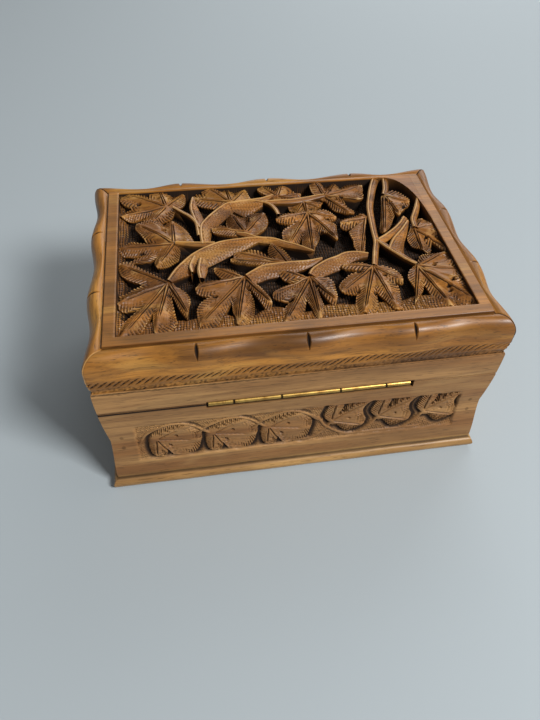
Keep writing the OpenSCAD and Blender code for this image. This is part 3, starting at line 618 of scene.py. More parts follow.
def makeWall(side):
    # One wall: a closed section of outer face, top edge, inner face and foot, carried along
    quarter, half, _ = sides[side]
    back = side == "back"
    w, h, bevel = wallShape, hingeShape, sideShape["bevel"]
    step = friezeShape["gridStep"] / detail
    faceZ = np.linspace(baseTop, wallTop - (h["bevelHeight"] if back else bevel),
                        int((wallTop - baseTop) / step))
    if back:
        faceZ = np.sort(np.concatenate([faceZ, partingZ - h["notchBelow"] + stepPair]))
    top = [float(sideInset(wallTop)) + (h["bevelRun"] if back else bevel), pinInset,
           (pinInset + leafEdge) / 2, *(leafEdge + stepPair), wallInset - bevel]
    u, inset, z = sectionGrid(
        stationsAlong(half, step, hingeBreaks if back else ()),
        np.concatenate([sideInset(faceZ), top, np.full(3, wallInset)]),
        np.concatenate([faceZ, np.full(len(top), wallTop),
                        [wallTop - bevel, (wallTop + baseTop) / 2, baseTop]]))
    column = np.arange(inset.shape[1])
    face = column < len(faceZ)
    faceU, faceHeight = u[:, face], z[:, face]
    depth, dark = friezeRelief(-faceU, faceHeight, half)
    marks = w["toolMarks"] * (1 + ripple(faceU, faceHeight, w["toolMarkSize"]))
    inset[:, face] += depth + marks * (depth > 0)
    # painted shade in the joint with the base board, filled nail holes near the ends of long walls
    spots = np.min([np.hypot(np.abs(faceU) - w["nailFromMiddle"], faceHeight - nailHeight)
                    for nailHeight in w["nailHeights"]], axis=0)
    recess = np.zeros_like(u)
    recess[:, face] = (dark + w["footShade"] * smooth(*w["footRun"], faceHeight - baseTop)
                       + w["nailShade"] * smooth(*w["nailSpot"], spots) * (quarter % 2 == 0))
    seam = seamShade(partingZ - z, w["seamReach"], u / half)
    recess = np.where(column < len(faceZ) + 1, np.maximum(recess, seam), recess)
    if back:
        atNotch = (u > notchEnds[0]) & (u < notchEnds[1]) & (z > partingZ - h["notchBelow"])
        floor = pinInset + h["barrelRadius"]
        inset = np.where(atNotch & (inset < floor), floor, inset)
        # the floor of the hinge's notch is painted dark as shade
        recess = np.where(atNotch & (inset < floor + 0.1), 1.0, recess)
        z[(np.abs(u - hingeMiddle) < leafHalf) & ~face & (inset < leafEdge)] -= h["leafDepth"]
    addSide(f"wall_{side}_carved", side, (u, inset, z, recess),
            half - wallInset - sideShape["mitreRun"], "box", f"wall_{side}",
            oiledWalnut)


railShape = {
    "gridStep": 0.7, "edgeRadius": 0.35, "toolMarks": 0.05, "toolMarkSize": 9,
    "lowBand": (1.6, 12), "highBand": (2.2, 34),   # end or start, and grid lines in it
    "seamReach": (1.2, 0.5), "glueBand": 0.9, "glueBandMore": 1.3, "glueEdge": 0.35,
    "glueLumps": 0.2, "glueShade": 0.6, "glueSpots": 0.3, "barrelShade": 0.8,
}


def makeRail(side):
    # One lid rail: its closed section, with softened arrises, carried along
    _, half, _ = sides[side]
    back = side == "back"
    r, h, edge = railShape, hingeShape, railShape["edgeRadius"]
    # closer grid lines in the low band, where the face is cut for the hinge
    (lowEnd, lowCount), (highStart, highCount) = r["lowBand"], r["highBand"]
    faceZ = np.concatenate([
        np.linspace(railBase + (h["bevelHeight"] if back else edge), railBase + lowEnd, lowCount),
        np.linspace(railBase + highStart, railTop - edge, highCount)])
    under = [wallInset - sideShape["bevel"], *(leafEdge - stepPair), pinInset + 3, pinInset,
             float(sideInset(railBase)) + (h["bevelRun"] if back else edge)]
    inner = [railBase + 3, railBase + sideShape["bevel"]]
    u, inset, z = sectionGrid(
        stationsAlong(half, r["gridStep"] / detail, hingeBreaks if back else ()),
        np.concatenate([np.full(2, wallInset), under, sideInset(faceZ),
                        [float(sideInset(railTop)) + edge, wallInset]]),
        np.concatenate([inner, np.full(len(under), railBase), faceZ, [railTop, railTop]]))
    column = np.arange(inset.shape[1]) - len(inner)
    lowFace = (column >= 0) & (column < len(under))
    face = (column >= len(under)) & (column < len(under) + len(faceZ))
    inset = inset + face * r["toolMarks"] * (1 + ripple(u, z, r["toolMarkSize"]))
    # old glue and painted shade under the moulding: a rough dark band, wider towards one end
    wide = (r["glueBand"] + r["glueBandMore"] * smooth(-0.5, 0.6, u / half)
            * (1 + r["glueEdge"] * ripple(u, 0 * u, 6)))
    band = smooth(wide, 0.3 * wide, railTop - z + r["glueEdge"] * grit(u, 2 * z, 2.2)) * face
    inset = inset + r["glueLumps"] * band * (1 + grit(u, 2 * z, 1.1))
    recess = np.clip(band * (r["glueShade"] + r["glueSpots"] * grit(u, 3 * z, 1.7)), 0, 1)
    seam = seamShade(z - partingZ, r["seamReach"], u / half)
    recess = np.where(face, np.maximum(recess, seam), recess)
    if back:
        # hollow round the hinge's barrel, and the bed of its leaf
        radius, lift = h["barrelRadius"], z - partingZ
        arc = pinInset + np.sqrt(np.clip(radius ** 2 - np.maximum(lift, 0) ** 2, 0, None))
        moved = (u > notchEnds[0]) & (u < notchEnds[1]) & (lift < radius) & (inset < arc)
        inset = np.where(moved, arc, inset)
        # the hollow is painted dark as shade
        recess = np.where(moved, r["barrelShade"], recess)
        z[(np.abs(u - hingeMiddle) < leafHalf) & lowFace & (inset < leafEdge)] += h["leafDepth"]
    addSide(f"rail_{side}_planed", side, (u, inset, z, recess),
            half - wallInset - sideShape["mitreRun"], "lid", f"lid_rail_{side}",
            oiledWalnut)


boardShape = {
    "roundMiddle": 3.5, "roundRise": 3.3, "roundRun": 3.0, "roundFrom": -65,
    "groove": 0.8, "grooveTop": 7.9, "footPast": 0.05, "under": 40, "toolMarks": 0.10,
    "cornerPoints": 22, "sidePoints": 160,
    "footShade": 0.4, "grooveShade": 0.7, "grooveMiddle": 7.2, "topShade": 0.2,
}


def makeBaseBoard():
    # Rings of a rounded rectangle, from the underside's middle out, up the edge and back in
    b = boardShape
    a = np.radians(np.linspace(b["roundFrom"], 90, b["cornerPoints"]))
    foot, groove, grooveTop = sideShape["baseRound"] + b["footPast"], b["groove"], b["grooveTop"]
    inset = np.concatenate([
        [b["under"], 2.4], b["roundRun"] * (1 - np.cos(a)),
        [b["roundRun"] + groove / 2, foot + groove / 2, foot, foot, foot + 0.1, b["under"]]])
    z = np.concatenate([
        [0, 0], b["roundMiddle"] + b["roundRise"] * np.sin(a),
        [grooveTop - groove, grooveTop - 0.3, grooveTop, baseTop - 0.1, baseTop, baseTop]])
    inset, z = inset[:, None], z[:, None]
    t = np.linspace(-1, 1, b["sidePoints"])[:-1]
    one = np.ones_like(t)
    ring = np.concatenate([np.stack(s, -1) for s in ((t, -one), (one, t), (-t, one), (-one, -t))])
    x = ring[:, 0] * (halfLength - inset)
    y = ring[:, 1] * (halfDepth - inset)
    # hand-shaped edge: each side comes in by shallow waves
    wave = b["toolMarks"] * (1 + ripple(x, y + z * 3, 11)) * (inset < 4)
    x = x - np.sign(ring[:, 0]) * wave * (np.abs(ring[:, 0]) == 1)
    y = y - np.sign(ring[:, 1]) * wave * (np.abs(ring[:, 1]) == 1)
    # painted shade at the foot by the floor, on the ledge under the wall and in the groove
    recess = (b["footShade"] * smooth(1.5, 0, z) + b["topShade"] * (z > grooveTop)
              + b["grooveShade"] * smooth(1.1, 0.3, np.abs(z - b["grooveMiddle"]))
              ) * (inset < b["under"])
    z, recess = (np.broadcast_to(v, x.shape) for v in (z, recess))
    makePiece("base_board_rounded", [(np.stack([x, y, z], -1).reshape(-1, 3),
                                      gridQuads(*x.shape, closeCols=True), recess.ravel())],
              "box", "bottom_board", walnutBoard)


mouldingShape = {
    "belly": 14.0, "nose": 5.6, "innerDrop": 1.4, "tuck": 1.5, "roundPoints": 46,
    "gridStep": 0.6, "hollowIn": 2.2, "hollowDrop": 1.0, "toolMarks": 0.09,
    # places of the stamped notches on the long and on the short sides
    "crests": ((-51.0, 0.0, 51.0), (-24.5, 24.5)), "straightPast": 3.0,
    "notchWidth": 2.2, "notchDepth": 1.6,
    "notchMiddle": 62, "notchReach": 48,   # degrees round the nose from its widest place
    "raspPitch": 3.5, "raspMiddle": 6.0, "raspReach": 1.9, "raspDepth": 0.8,
    "footTop": (3.6, 2.8), "footDepth": 0.35, "mitreGap": 0.35, "mitreRun": (1.0, 0.1),
    # recess: painted shade of notches, rasp marks and foot with its spots (partly old glue), of
    # the lowest edge and of the joint with the panel; of the pale putty in a mitre and of worn
    # patches
    "notchShade": 1.6, "raspShade": 1.3, "footShade": 0.40, "footSpots": 0.6,
    "edgeShade": 0.6, "besideShade": 0.8, "puttyShade": -1.8, "wornShade": -0.2,
}


def mouldingSection(points):
    # Closed section as [inset, height]: inner face, quarter round over the nose, tucked foot
    m = mouldingShape
    a = np.radians(np.linspace(120, 0, points))
    s = np.linspace(0, 1, points // 2)[1:]
    nose = np.stack([m["nose"] * (1 - np.cos(a)),
                     m["belly"] + (mouldingTall - m["belly"]) * np.sin(a)], -1)
    foot = np.stack([m["tuck"] * s ** 2, m["belly"] * (1 - s)], -1)
    inner = [[mouldingWidth, 0], [mouldingWidth, mouldingTall - m["innerDrop"]]]
    return np.vstack([inner, nose, foot])


def makeMoulding(side):
    # The section carried along; hollows and notches move each point by its share of them
    quarter, half, _ = sides[side]
    m = mouldingShape
    crests = np.array(m["crests"][quarter % 2])
    section = mouldingSection(int(m["roundPoints"] * detail))
    atNotch = np.linspace(-m["notchWidth"], m["notchWidth"], 17)
    atMitre = half - np.array([0.1, 0.3, 0.6, 0.9])
    stations = np.sort(np.concatenate([
        np.linspace(-half, half, int(2 * half / m["gridStep"] * detail)),
        *(crest + atNotch for crest in crests), atMitre, -atMitre]))
    u, inset, height = sectionGrid(stations, section[:, 0], section[:, 1])
    level = 0 * u
    crown = height > m["belly"]
    # a hollow between two notches: a full wave, with no share at the foot and inner edge
    ends = np.concatenate([[-half], crests, [half]])
    k = np.clip(np.searchsorted(ends, u, side="right") - 1, 0, len(ends) - 2)
    hollow = (1 - np.cos(2 * np.pi * (u - ends[k]) / (ends[k + 1] - ends[k]))) / 2
    share = (smooth(0, 1, height / m["belly"])
             * smooth(0, 1, (mouldingWidth - inset) / mouldingWidth * 1.5))
    # a notch: a wedge across the nose, as a lens from the top to below the widest place
    away = np.abs(u[..., None] - crests).min(-1) / (m["notchWidth"] / 2)
    roundTo = np.degrees(np.arctan2((height - m["belly"]) / (mouldingTall - m["belly"]),
                                    np.maximum(m["nose"] - inset, -3) / m["nose"]))
    lens = np.clip(1 - ((roundTo - m["notchMiddle"]) / m["notchReach"]) ** 2, 0, 1)
    notch = np.clip(1 - away / np.maximum(lens, 0.05), 0, 1) * lens
    out = np.clip((m["nose"] - inset) / m["nose"], 0, 1)
    # slanted marks of the rasp above the foot, and a softly uneven hand-scraped face
    low = np.exp(-((height - m["raspMiddle"] - 0.3 * ripple(u, level, 9)) / m["raspReach"]) ** 4)
    slant = u + 0.7 * height + 0.05 * height ** 2 + 0.3 * ripple(u, level, 5)
    rasp = low * comb(slant / m["raspPitch"]) ** 2
    # the foot below them is rough, with old glue and painted shade in it
    foot = smooth(*m["footTop"], height + 0.5 * ripple(u, level, 7)) * (height > 0)
    rough = grit(u, 1.6 * height, 1.3)
    uneven = m["toolMarks"] * (1 + ripple(u, height * 2, 6)) * (inset < mouldingWidth - 0.5)
    mitre = (smooth(*m["mitreRun"], half - np.abs(u)) * (0.8 + 0.2 * ripple(height, level, 3)))
    # at one corner the mitre is filled with pale putty
    putty = (side == "back") * (u > 0) + (side == "left") * (u < 0)
    beside = smooth(mouldingWidth - 0.55 - 0.3 * grit(u, level, 2.2), mouldingWidth, inset)
    # painted shade in notches, rasp marks, foot, lowest edge and beside the panel; a dark mitre
    # joint, pale putty and worn patches
    recess = np.clip(m["notchShade"] * notch + m["raspShade"] * rasp
                     + mitre * (1 + m["puttyShade"] * putty)
                     + foot * (m["footShade"] + m["footSpots"] * rough)
                     + m["edgeShade"] * smooth(0.9, 0.2, height) + m["besideShade"] * beside
                     + m["wornShade"] * smooth(0.1, 1, ripple(u, 2 * height, 9)), -1, 1)
    newInset = (inset + hollow * m["hollowIn"] * share + notch * m["notchDepth"] * out
                + rasp * m["raspDepth"] + uneven * out + m["mitreGap"] * mitre * out
                + m["footDepth"] * foot * (1 + rough) * out)
    newHeight = (height - hollow * m["hollowDrop"] * share * height / mouldingTall
                 - notch * m["notchDepth"] * (1 - 0.7 * out) - uneven * (1 - out) * crown
                 - m["mitreGap"] * mitre * (1 - out) * crown)
    addSide(f"moulding_{side}_scalloped", side, (u, newInset, railTop + newHeight, recess),
            crests[-1] + m["straightPast"], "lid", f"moulding_{side}",
            mouldingWalnut)


for side in sides:
    makeWall(side)
    makeRail(side)
    makeMoulding(side)
makeBaseBoard()
print("base board, walls, rails and mouldings made")


panelShape = {
    "border": 5.8, "farBorder": 2.2, "groundDepth": 9.0, "gridStep": 0.52,
    "punchPitch": 1.35, "punchDepth": 0.5, "groundWave": 0.3,
    "borderWave": 0.05, "outerRound": 0.35, "innerRound": 0.25, "borderEdge": 0.9,
    # recess: painted shade of the ground, more where it is deepest, and less on the raised grid
    # between the punches as painted highlight; the border's own tone, and painted shade on its
    # outer edge and its inner one
    "groundShade": 0.22, "deepShade": 0.9, "punchShade": -0.7, "borderShade": -0.25,
    "outerShade": 0.7, "innerShade": 0.95,
    # the ground rises to the front and left border: how far, and between which distances
    "frontBank": (4.9, (17.5, 10.5)), "leftBank": (3.5, (5, 1.5)), "highestBank": 5.0,
    "rootDepth": 0.4,   # how far leaves and stems go down into the ground
}
spandrelShape = {"length": 18.0, "depth": 47.0, "bulge": 0.8, "points": 60, "sunk": 0.06,
                 "bevel": 0.35, "overlap": 0.5, "wallShade": 0.95, "edgeShade": 0.5,
                 "shade": 0.04}
leafShape = {
    "drop": 1.2, "marginStep": 0.42, "rayPoints": 46,
    "edgeDrop": 0.6, "tipDrop": 0.5, "scoop": 0.8, "lift": 0.9, "tilt": 0.34,
    "toothDepth": 0.5, "toothFrom": (4, 9), "holeEdge": (1.2, 0.6), "holeStretch": 1.25,
    "holeDepth": 2.2, "toolMarks": 0.15, "topSpread": 0.25, "liftRun": (2, 12),
    "edgeRun": 2.2, "scoopWidth": 7, "tiltReach": 5,
    "lobeWidth": 0.3,   # radians on either side of its vein
    # side of a leaf from its top edge down: share of the fall, how far it stands out, painted
    # shade
    "wallFall": (0.03, 0.16, 0.30, 1.0), "wallOut": (0.1, 0.0, -1.0, -1.8),
    "wallShade": (0.1, 0.4, 0.85, 1.0),
    "rimWearAndHighlight": 0.5, "veinWearAndHighlight": 0.2, "wornPatch": 0.5, "darkPatch": 0.25,
}
lidCuts = {"pitch": 1.7, "slant": 0.9, "reach": 5.2, "gap": 0.8, "half": 0.28,
           "veinDepth": 0.9, "cutDepth": 0.7}
stemShape = {
    "drop": 0.4, "gridStep": 0.45, "facetPoints": 24, "facetSlope": 0.32, "facetDroop": 0.25,
    "behind": 0.8, "behindSlope": 0.7, "spread": 2.2, "stipple": 0.22, "stippleSize": 0.45,
    "knifeAt": 0.9, "knifeHalf": 0.3, "knifeDepth": 0.25,
    "crestWearAndHighlight": 0.9, "crestHalf": 0.55, "wornPatch": 0.35,
    "facetShade": 0.30, "knifeShade": 0.6, "stippleShade": 1.8, "sideShade": 0.65,
    "past": 0.6,   # how far a stem may run under the border
}
# Each leaf: where its veins meet, the ends of its veins, its drilled holes, and its margin
# followed anticlockwise through the tips and the notches between the lobes
lidLeaves = {
    "front_left": ((-61.5, -20),
        [(-82.5, -4.5), (-84, -31.5), (-83, -52.5), (-67, -45), (-53, -44.5)],
        [(-61.5, -29.5)], [
        (-53.5, -47.5), (-53, -43.5), (-52.5, -38.5), (-51.5, -32.5), (-52.5, -28), (-55, -23.5),
        (-58.5, -20.5), (-60, -18.5), (-62.5, -17.5), (-65, -15.5), (-68, -11.5), (-71.5, -8.5),
        (-75, -5.5), (-77.5, -2), (-80, 0.5), (-83, 1.5), (-85.5, -0.5), (-86, -4.5),
        (-85, -9), (-83, -12.5), (-79.5, -15.5), (-75, -18.5), (-76.5, -20), (-79.5, -21.5),
        (-83, -24), (-85.5, -25), (-85, -29), (-86, -32.5), (-85, -35.5), (-82, -37),
        (-78, -36.5), (-75.5, -36), (-79.5, -39.5), (-82, -42.5), (-84, -46.5), (-85.5, -51),
        (-85.5, -54.5), (-82, -54.5), (-78, -54.5), (-74.5, -54.5), (-72, -52.5), (-72.5, -47.5),
        (-71.5, -43.5), (-71, -40), (-70, -43.5), (-69.5, -49.5), (-69, -54), (-66, -55),
        (-62.5, -54.5), (-59.5, -52.5), (-56.5, -50), (-55.5, -47), (-58, -41.5), (-60, -35.5),
        (-61.5, -29), (-59.5, -32.5), (-57.5, -38), (-55.5, -43)]),
    "front_second": ((-23.5, -20.5),
        [(-37.5, -12), (-48, -25.5), (-47.5, -50), (-30.5, -52.5), (-13, -40.5)],
        [(-39.5, -33), (-22.5, -29)], [
        (-12.5, -40.5), (-13, -35), (-15, -30.5), (-17, -26.5), (-20, -22.5), (-22.5, -20),
        (-25, -17), (-27, -14), (-29, -11.5), (-31.5, -10.5), (-34.5, -11.5), (-37.5, -11.5),
        (-38.5, -13), (-37, -16), (-34, -19), (-30.5, -20.5), (-34.5, -20), (-37.5, -19.5),
        (-42, -19), (-45.5, -20), (-47.5, -23.5), (-48.5, -27.5), (-45, -31.5), (-41.5, -33),
        (-44, -34), (-45.5, -35), (-47.5, -38), (-49, -41.5), (-49, -45.5), (-48.5, -50),
        (-47.5, -54), (-44, -54), (-41, -54), (-38, -53.5), (-37.5, -49.5), (-36.5, -45),
        (-34.5, -41.5), (-33, -37.5), (-32, -40.5), (-32, -44.5), (-31, -50), (-31, -54),
        (-27.5, -54), (-25, -52), (-22.5, -48), (-21.5, -43.5), (-21, -36.5), (-22, -29),
        (-20.5, -31.5), (-18.5, -36.5), (-16.5, -41), (-16, -45), (-13.5, -45)]),
    "front_third": ((9, -24.5),
        [(-3, -18.5), (-10, -33), (-7.5, -53), (8.5, -52), (19, -42)],
        [(-3, -39), (11.5, -30.5)], [
        (18, -45.5), (19.5, -41.5), (20.5, -38.5), (20.5, -34.5), (20.5, -29.5), (19, -26),
        (16, -24.5), (12, -22.5), (9, -23), (7.5, -23), (5.5, -20), (2, -17.5), (-2, -17),
        (-5.5, -18.5), (-5.5, -20.5), (-4, -23.5), (-2, -26), (0.5, -27), (3, -27.5),
        (-1, -27.5), (-5, -27), (-10, -29), (-11.5, -32), (-11.5, -36.5), (-8.5, -39.5),
        (-5, -40), (-3, -39.5), (-4.5, -41), (-7, -43), (-8, -45), (-8.5, -50), (-9, -54),
        (-3, -54.5), (0, -54.5), (2, -53.5), (2, -48), (2.5, -43.5), (4.5, -39.5), (6, -45.5),
        (6.5, -50.5), (7.5, -54.5), (9.5, -54), (11, -49.5), (12.5, -44.5), (12, -40),
        (11.5, -30.5), (12.5, -36), (14, -40.5), (16, -44.5)]),
    "front_fourth": ((43, -20.5),
        [(29, -17.5), (23.5, -36), (31, -51.5), (46.5, -49), (54.5, -31)],
        [(31.5, -36.5), (39.5, -39.5), (35, -22.5), (47.5, -27.5)], [
        (52, -32.5), (55, -34.5), (56.5, -30), (56, -26.5), (53.5, -23), (49.5, -20.5),
        (45.5, -19.5), (43.5, -18.5), (41.5, -18.5), (39.5, -16.5), (35.5, -15.5), (31.5, -16),
        (28.5, -17), (27, -18.5), (28.5, -20), (31.5, -21), (36, -22.5), (31.5, -23),
        (27.5, -26), (24, -29.5), (22.5, -32.5), (23, -36.5), (26, -38), (29.5, -38.5),
        (31.5, -36.5), (29.5, -40.5), (28.5, -44), (27.5, -48.5), (27.5, -52.5), (30.5, -53.5),
        (35.5, -53.5), (38, -53), (39.5, -51.5), (39.5, -48), (39, -44), (40, -38.5),
        (41.5, -41.5), (43, -45.5), (44.5, -49.5), (46, -53), (49.5, -52.5), (51, -46.5),
        (51.5, -42.5), (52, -37.5)]),
    "front_right": ((66.5, -22.5),
        [(57.5, -48.5), (73.5, -50.5), (86.5, -50.5), (88.5, -27.5), (82.5, -13.5)],
        [(75.5, -22.5), (77, -20.5), (81.5, -34.5), (77.5, -40), (77.5, -42.5)], [
        (64, -23), (62, -24.5), (60, -27.5), (59, -30.5), (59.5, -34.5), (60, -38.5),
        (59.5, -42.5), (58, -46.5), (56.5, -50), (61, -44.5), (64, -40.5), (66, -36.5),
        (67.5, -43.5), (68.5, -48), (69, -51), (71.5, -52.5), (74, -53.5), (77, -54.5),
        (78, -48.5), (79.5, -54.5), (82.5, -54.5), (87, -53.5), (87.5, -49.5), (88.5, -45.5),
        (88, -41.5), (87.5, -37.5), (85.5, -35.5), (89, -32.5), (89, -29.5), (88.5, -27.5),
        (88.5, -22), (89, -17.5), (88, -13.5), (84, -12), (78.5, -11), (74, -11.5),
        (70.5, -13.5), (68.5, -17.5), (67, -21), (65.5, -21.5)]),
    "right_middle": ((75, 10.5),
        [(74, -8), (87, -9.5), (87.5, 12), (82, 19.5)],
        [(79, 1.5)], [
        (73, 11), (71.5, 8.5), (69.5, 4.5), (69.5, 0.5), (70.5, -3.5), (73, -6), (76.5, -9.5),
        (79.5, -7.5), (81.5, -2), (83.5, -8.5), (88, -11), (89, -4), (89, 2), (89, 6.5),
        (89, 12), (89, 16), (86.5, 18), (83.5, 20), (80.5, 21), (78, 20), (75, 16.5)]),
    "in_loop": ((66.5, 43.5),
        [(58, 10.5), (70, 24), (79.5, 36.5)],
        [(68.5, 36.5), (74.5, 30.5)], [
        (64.5, 42), (63.5, 37.5), (61.5, 30.5), (59.5, 24), (57.5, 17.5), (56, 12), (57.5, 9.5),
        (61.5, 13.5), (63.5, 16.5), (65.5, 20.5), (67.5, 24), (68, 30.5), (69.5, 22.5),
        (72.5, 26.5), (75.5, 29.5), (78, 32), (80, 35.5), (81, 40), (78, 44.5), (75, 47.5),
        (70.5, 48.5), (67.5, 47.5), (65.5, 44.5)]),
    "beside_loop": ((50.5, 23.5),
        [(35.5, 20), (39.5, -10)],
        [], [
        (51.5, 25.5), (50.5, 28), (47.5, 28.5), (43.5, 26.5), (40, 25.5), (36.5, 24), (35, 21.5),
        (34.5, 17.5), (36.5, 15.5), (40, 15.5), (43, 17), (40, 13), (37.5, 10.5), (37.5, 6.5),
        (38, 2.5), (37.5, -1.5), (38, -5.5), (38.5, -10), (40, -11.5), (42, -10), (43.5, -3.5),
        (45, 3.5), (47, 10.5), (49, 17.5), (51.5, 22.5)]),
    "middle": ((18.5, 32),
        [(0, 26.5), (3.5, 5.5), (15, -3.5), (29.5, 6.5), (33.5, 26.5)],
        [(28, 25), (22.5, 14), (9.5, 4)], [
        (34.5, 27.5), (32.5, 31.5), (30, 34), (27.5, 35), (23.5, 34.5), (20.5, 33.5),
        (18.5, 33.5), (16, 33), (10, 32.5), (5.5, 31.5), (2, 29.5), (-0.5, 27.5), (-0.5, 25.5),
        (1.5, 23.5), (5.5, 22.5), (9.5, 23.5), (7.5, 22.5), (4.5, 21), (2, 18.5), (1, 14),
        (1.5, 9.5), (2.5, 4.5), (5, 3), (7.5, 3.5), (9, 6.5), (12, 12.5), (11, 7.5), (11, 2),
        (12.5, -1.5), (14.5, -5), (16, -2), (17.5, 2.5), (19, 5.5), (21, 9.5), (22.5, 14.5),
        (24.5, 12.5), (26.5, 10.5), (29.5, 4.5), (30.5, 6.5), (31, 9.5), (31.5, 13.5),
        (32, 17.5), (31, 20.5), (28.5, 22.5), (31.5, 24), (33.5, 25)]),
    "under_arch": ((-18.5, 17.5),
        [(-35.5, 21.5), (-24, 36.5), (-7.5, 32)],
        [(-16, 30.5), (-15.8, 28), (-26, 23.5)], [
        (-15, 15.5), (-11, 16.5), (-8, 19), (-6, 22.5), (-4.8, 27), (-5, 31.5), (-7, 35),
        (-10, 36.3), (-13.5, 36), (-15.8, 33.8), (-17.5, 36), (-20.5, 37.8),
        (-24, 38), (-27, 35.5), (-28, 31), (-27.5, 27), (-26, 23.5), (-24.5, 21.5),
        (-27, 22.5), (-30, 24.5), (-33.5, 25), (-36, 23), (-36.5, 20),
        (-34, 17.5), (-29.5, 15.5), (-25.5, 14.5), (-21.5, 15.5), (-18.5, 15.5)]),
    "left_middle": ((-57.5, 12.5),
        [(-65.5, -2.5), (-84.5, 13), (-75, 29.5), (-57.5, 32.5)],
        [(-74.5, 8.5), (-62.3, 26), (-62.3, 23.5)], [
        (-54, 11.5), (-46.5, 11), (-47, 15), (-48.5, 20), (-50.5, 25.5), (-53, 30.5),
        (-56, 33.5), (-60, 34), (-62, 31.2), (-64, 33.5), (-67, 34.8),
        (-71, 34.5), (-75.5, 32.5), (-77.5, 29), (-76.5, 25),
        (-74.5, 21.5), (-71.5, 16), (-74.5, 17.8), (-76, 19), (-79.5, 20.5),
        (-82.5, 18.5), (-84.5, 16), (-86, 14), (-86, 11.5), (-84.5, 8.5), (-82, 7.5),
        (-78.5, 6.5), (-73, 7), (-77.5, 4.5), (-80.5, 2.5), (-82, 1), (-76, 0.5), (-69.5, 0.5),
        (-66.5, 5.5), (-68, 0), (-67.5, -4), (-66.5, -6), (-62.5, -4.5), (-59.5, -2.5),
        (-56, -0.5), (-55, 3.5), (-54.5, 6.5), (-54.5, 10)]),
    "back_left": ((-60.5, 47.5),
        [(-83.5, 43), (-81, 61), (-63.5, 62.5), (-51, 60), (-67.5, 34)],
        [(-64.5, 55.5), (-75.5, 52)], [
        (-55.5, 43.5), (-54.5, 48), (-50.5, 52), (-49, 56.5), (-49.5, 61), (-52.5, 63.2),
        (-56.5, 62.5), (-58.5, 60), (-60, 62.5), (-63.5, 63.4), (-67.5, 63.2), (-69.5, 61),
        (-70.5, 58), (-72.5, 61.5), (-76.5, 63.4), (-81, 63.2), (-84.5, 61), (-86, 57),
        (-84.5, 53.5), (-80, 50.5), (-83.5, 49), (-86, 46.5), (-86, 43.5), (-83.5, 41),
        (-79.5, 39.5), (-75.5, 40.5), (-71.5, 42.5), (-73.5, 38), (-72, 34.5), (-69.5, 32.5),
        (-65.5, 32), (-62, 33.5), (-58.5, 34.5), (-56.5, 38)]),
    "back_second": ((-23.5, 47.5),
        [(-42.5, 54), (-35.5, 62), (-25, 62.5), (-14.5, 60)],
        [(-30, 57), (-20.5, 56)], [
        (-12, 46.5), (-11, 52), (-12, 57.5), (-14, 61.5), (-17.5, 63.2), (-20, 61.5),
        (-22, 63.2), (-26.5, 63.4), (-29.5, 61), (-32, 63.2), (-36.5, 63.4), (-39, 61),
        (-40, 58), (-42, 59.5), (-44.5, 57.5), (-45, 54), (-43, 50), (-39.5, 47), (-34.5, 44.5),
        (-31.5, 43), (-28, 44), (-25.5, 46), (-22, 45.5), (-17.5, 45.5)]),
    "back_third": ((4, 51.5),
        [(-3.5, 61), (8, 62), (17.5, 54), (14, 46)],
        [(10, 53.5)], [
        (17.5, 45), (19, 49.5), (18.5, 54.5), (17.5, 58.5), (14, 60.5), (11.5, 62.5), (7.5, 63),
        (4.5, 60), (2.5, 57.5), (0.5, 61.5), (-2.5, 63.2), (-6, 61.5), (-6.5, 57.5),
        (-3.5, 54), (0, 51), (2.5, 49), (5, 48.5), (7.5, 46), (10, 44.5), (14, 44)]),
    "back_fourth": ((31.5, 47.5),
        [(28.5, 62), (41, 62.5), (55, 57), (50.5, 40.5), (42, 31.5)],
        [(40.5, 44), (36, 54)], [
        (33, 40), (35, 35.5), (38.5, 32.5), (42, 29.5), (45.5, 30.5), (46, 33.5), (43, 37.5),
        (40.5, 44.5), (43, 43.5), (46.5, 40), (49.5, 38.5), (52, 40), (54, 43.5), (54.5, 46.5),
        (53.5, 48.5), (56, 52), (57, 57), (55.5, 61.5), (51.5, 63.3), (46.5, 62.5), (43.5, 57.5),
        (42.5, 62), (38.5, 63.3), (35.5, 61.5), (33.5, 58.5), (32, 62.5), (28, 63.3), (25, 60),
        (24.5, 53.5), (26, 48.5), (29.5, 45.5), (31.5, 44)]),
    "below_stem": ((1, -12.5),
        [(-6, 5), (-26, 2), (-28, -5)],
        [(-8.5, -3.5), (-11, 2.5)], [
        (3, -9), (2, -4), (0, 1), (-2, 5), (-6, 6.5), (-8.5, 2), (-9, -3.5), (-11, 3),
        (-13, 4.5), (-18, 5), (-23, 3.5), (-26.5, 1), (-27.5, -2), (-29, -6), (-20, -9.5),
        (-11.5, -12.5), (-3, -14), (1, -14)]),
    "ruffle": ((18, 43.5),
        [(12, 34), (18, 32.5), (26, 35), (29, 42)],
        [], [
        (9, 44), (9.5, 40), (12, 35.5), (13, 33), (16, 33), (21, 33.5), (25, 35), (28, 40),
        (30, 45), (24, 45), (18, 45)]),
}
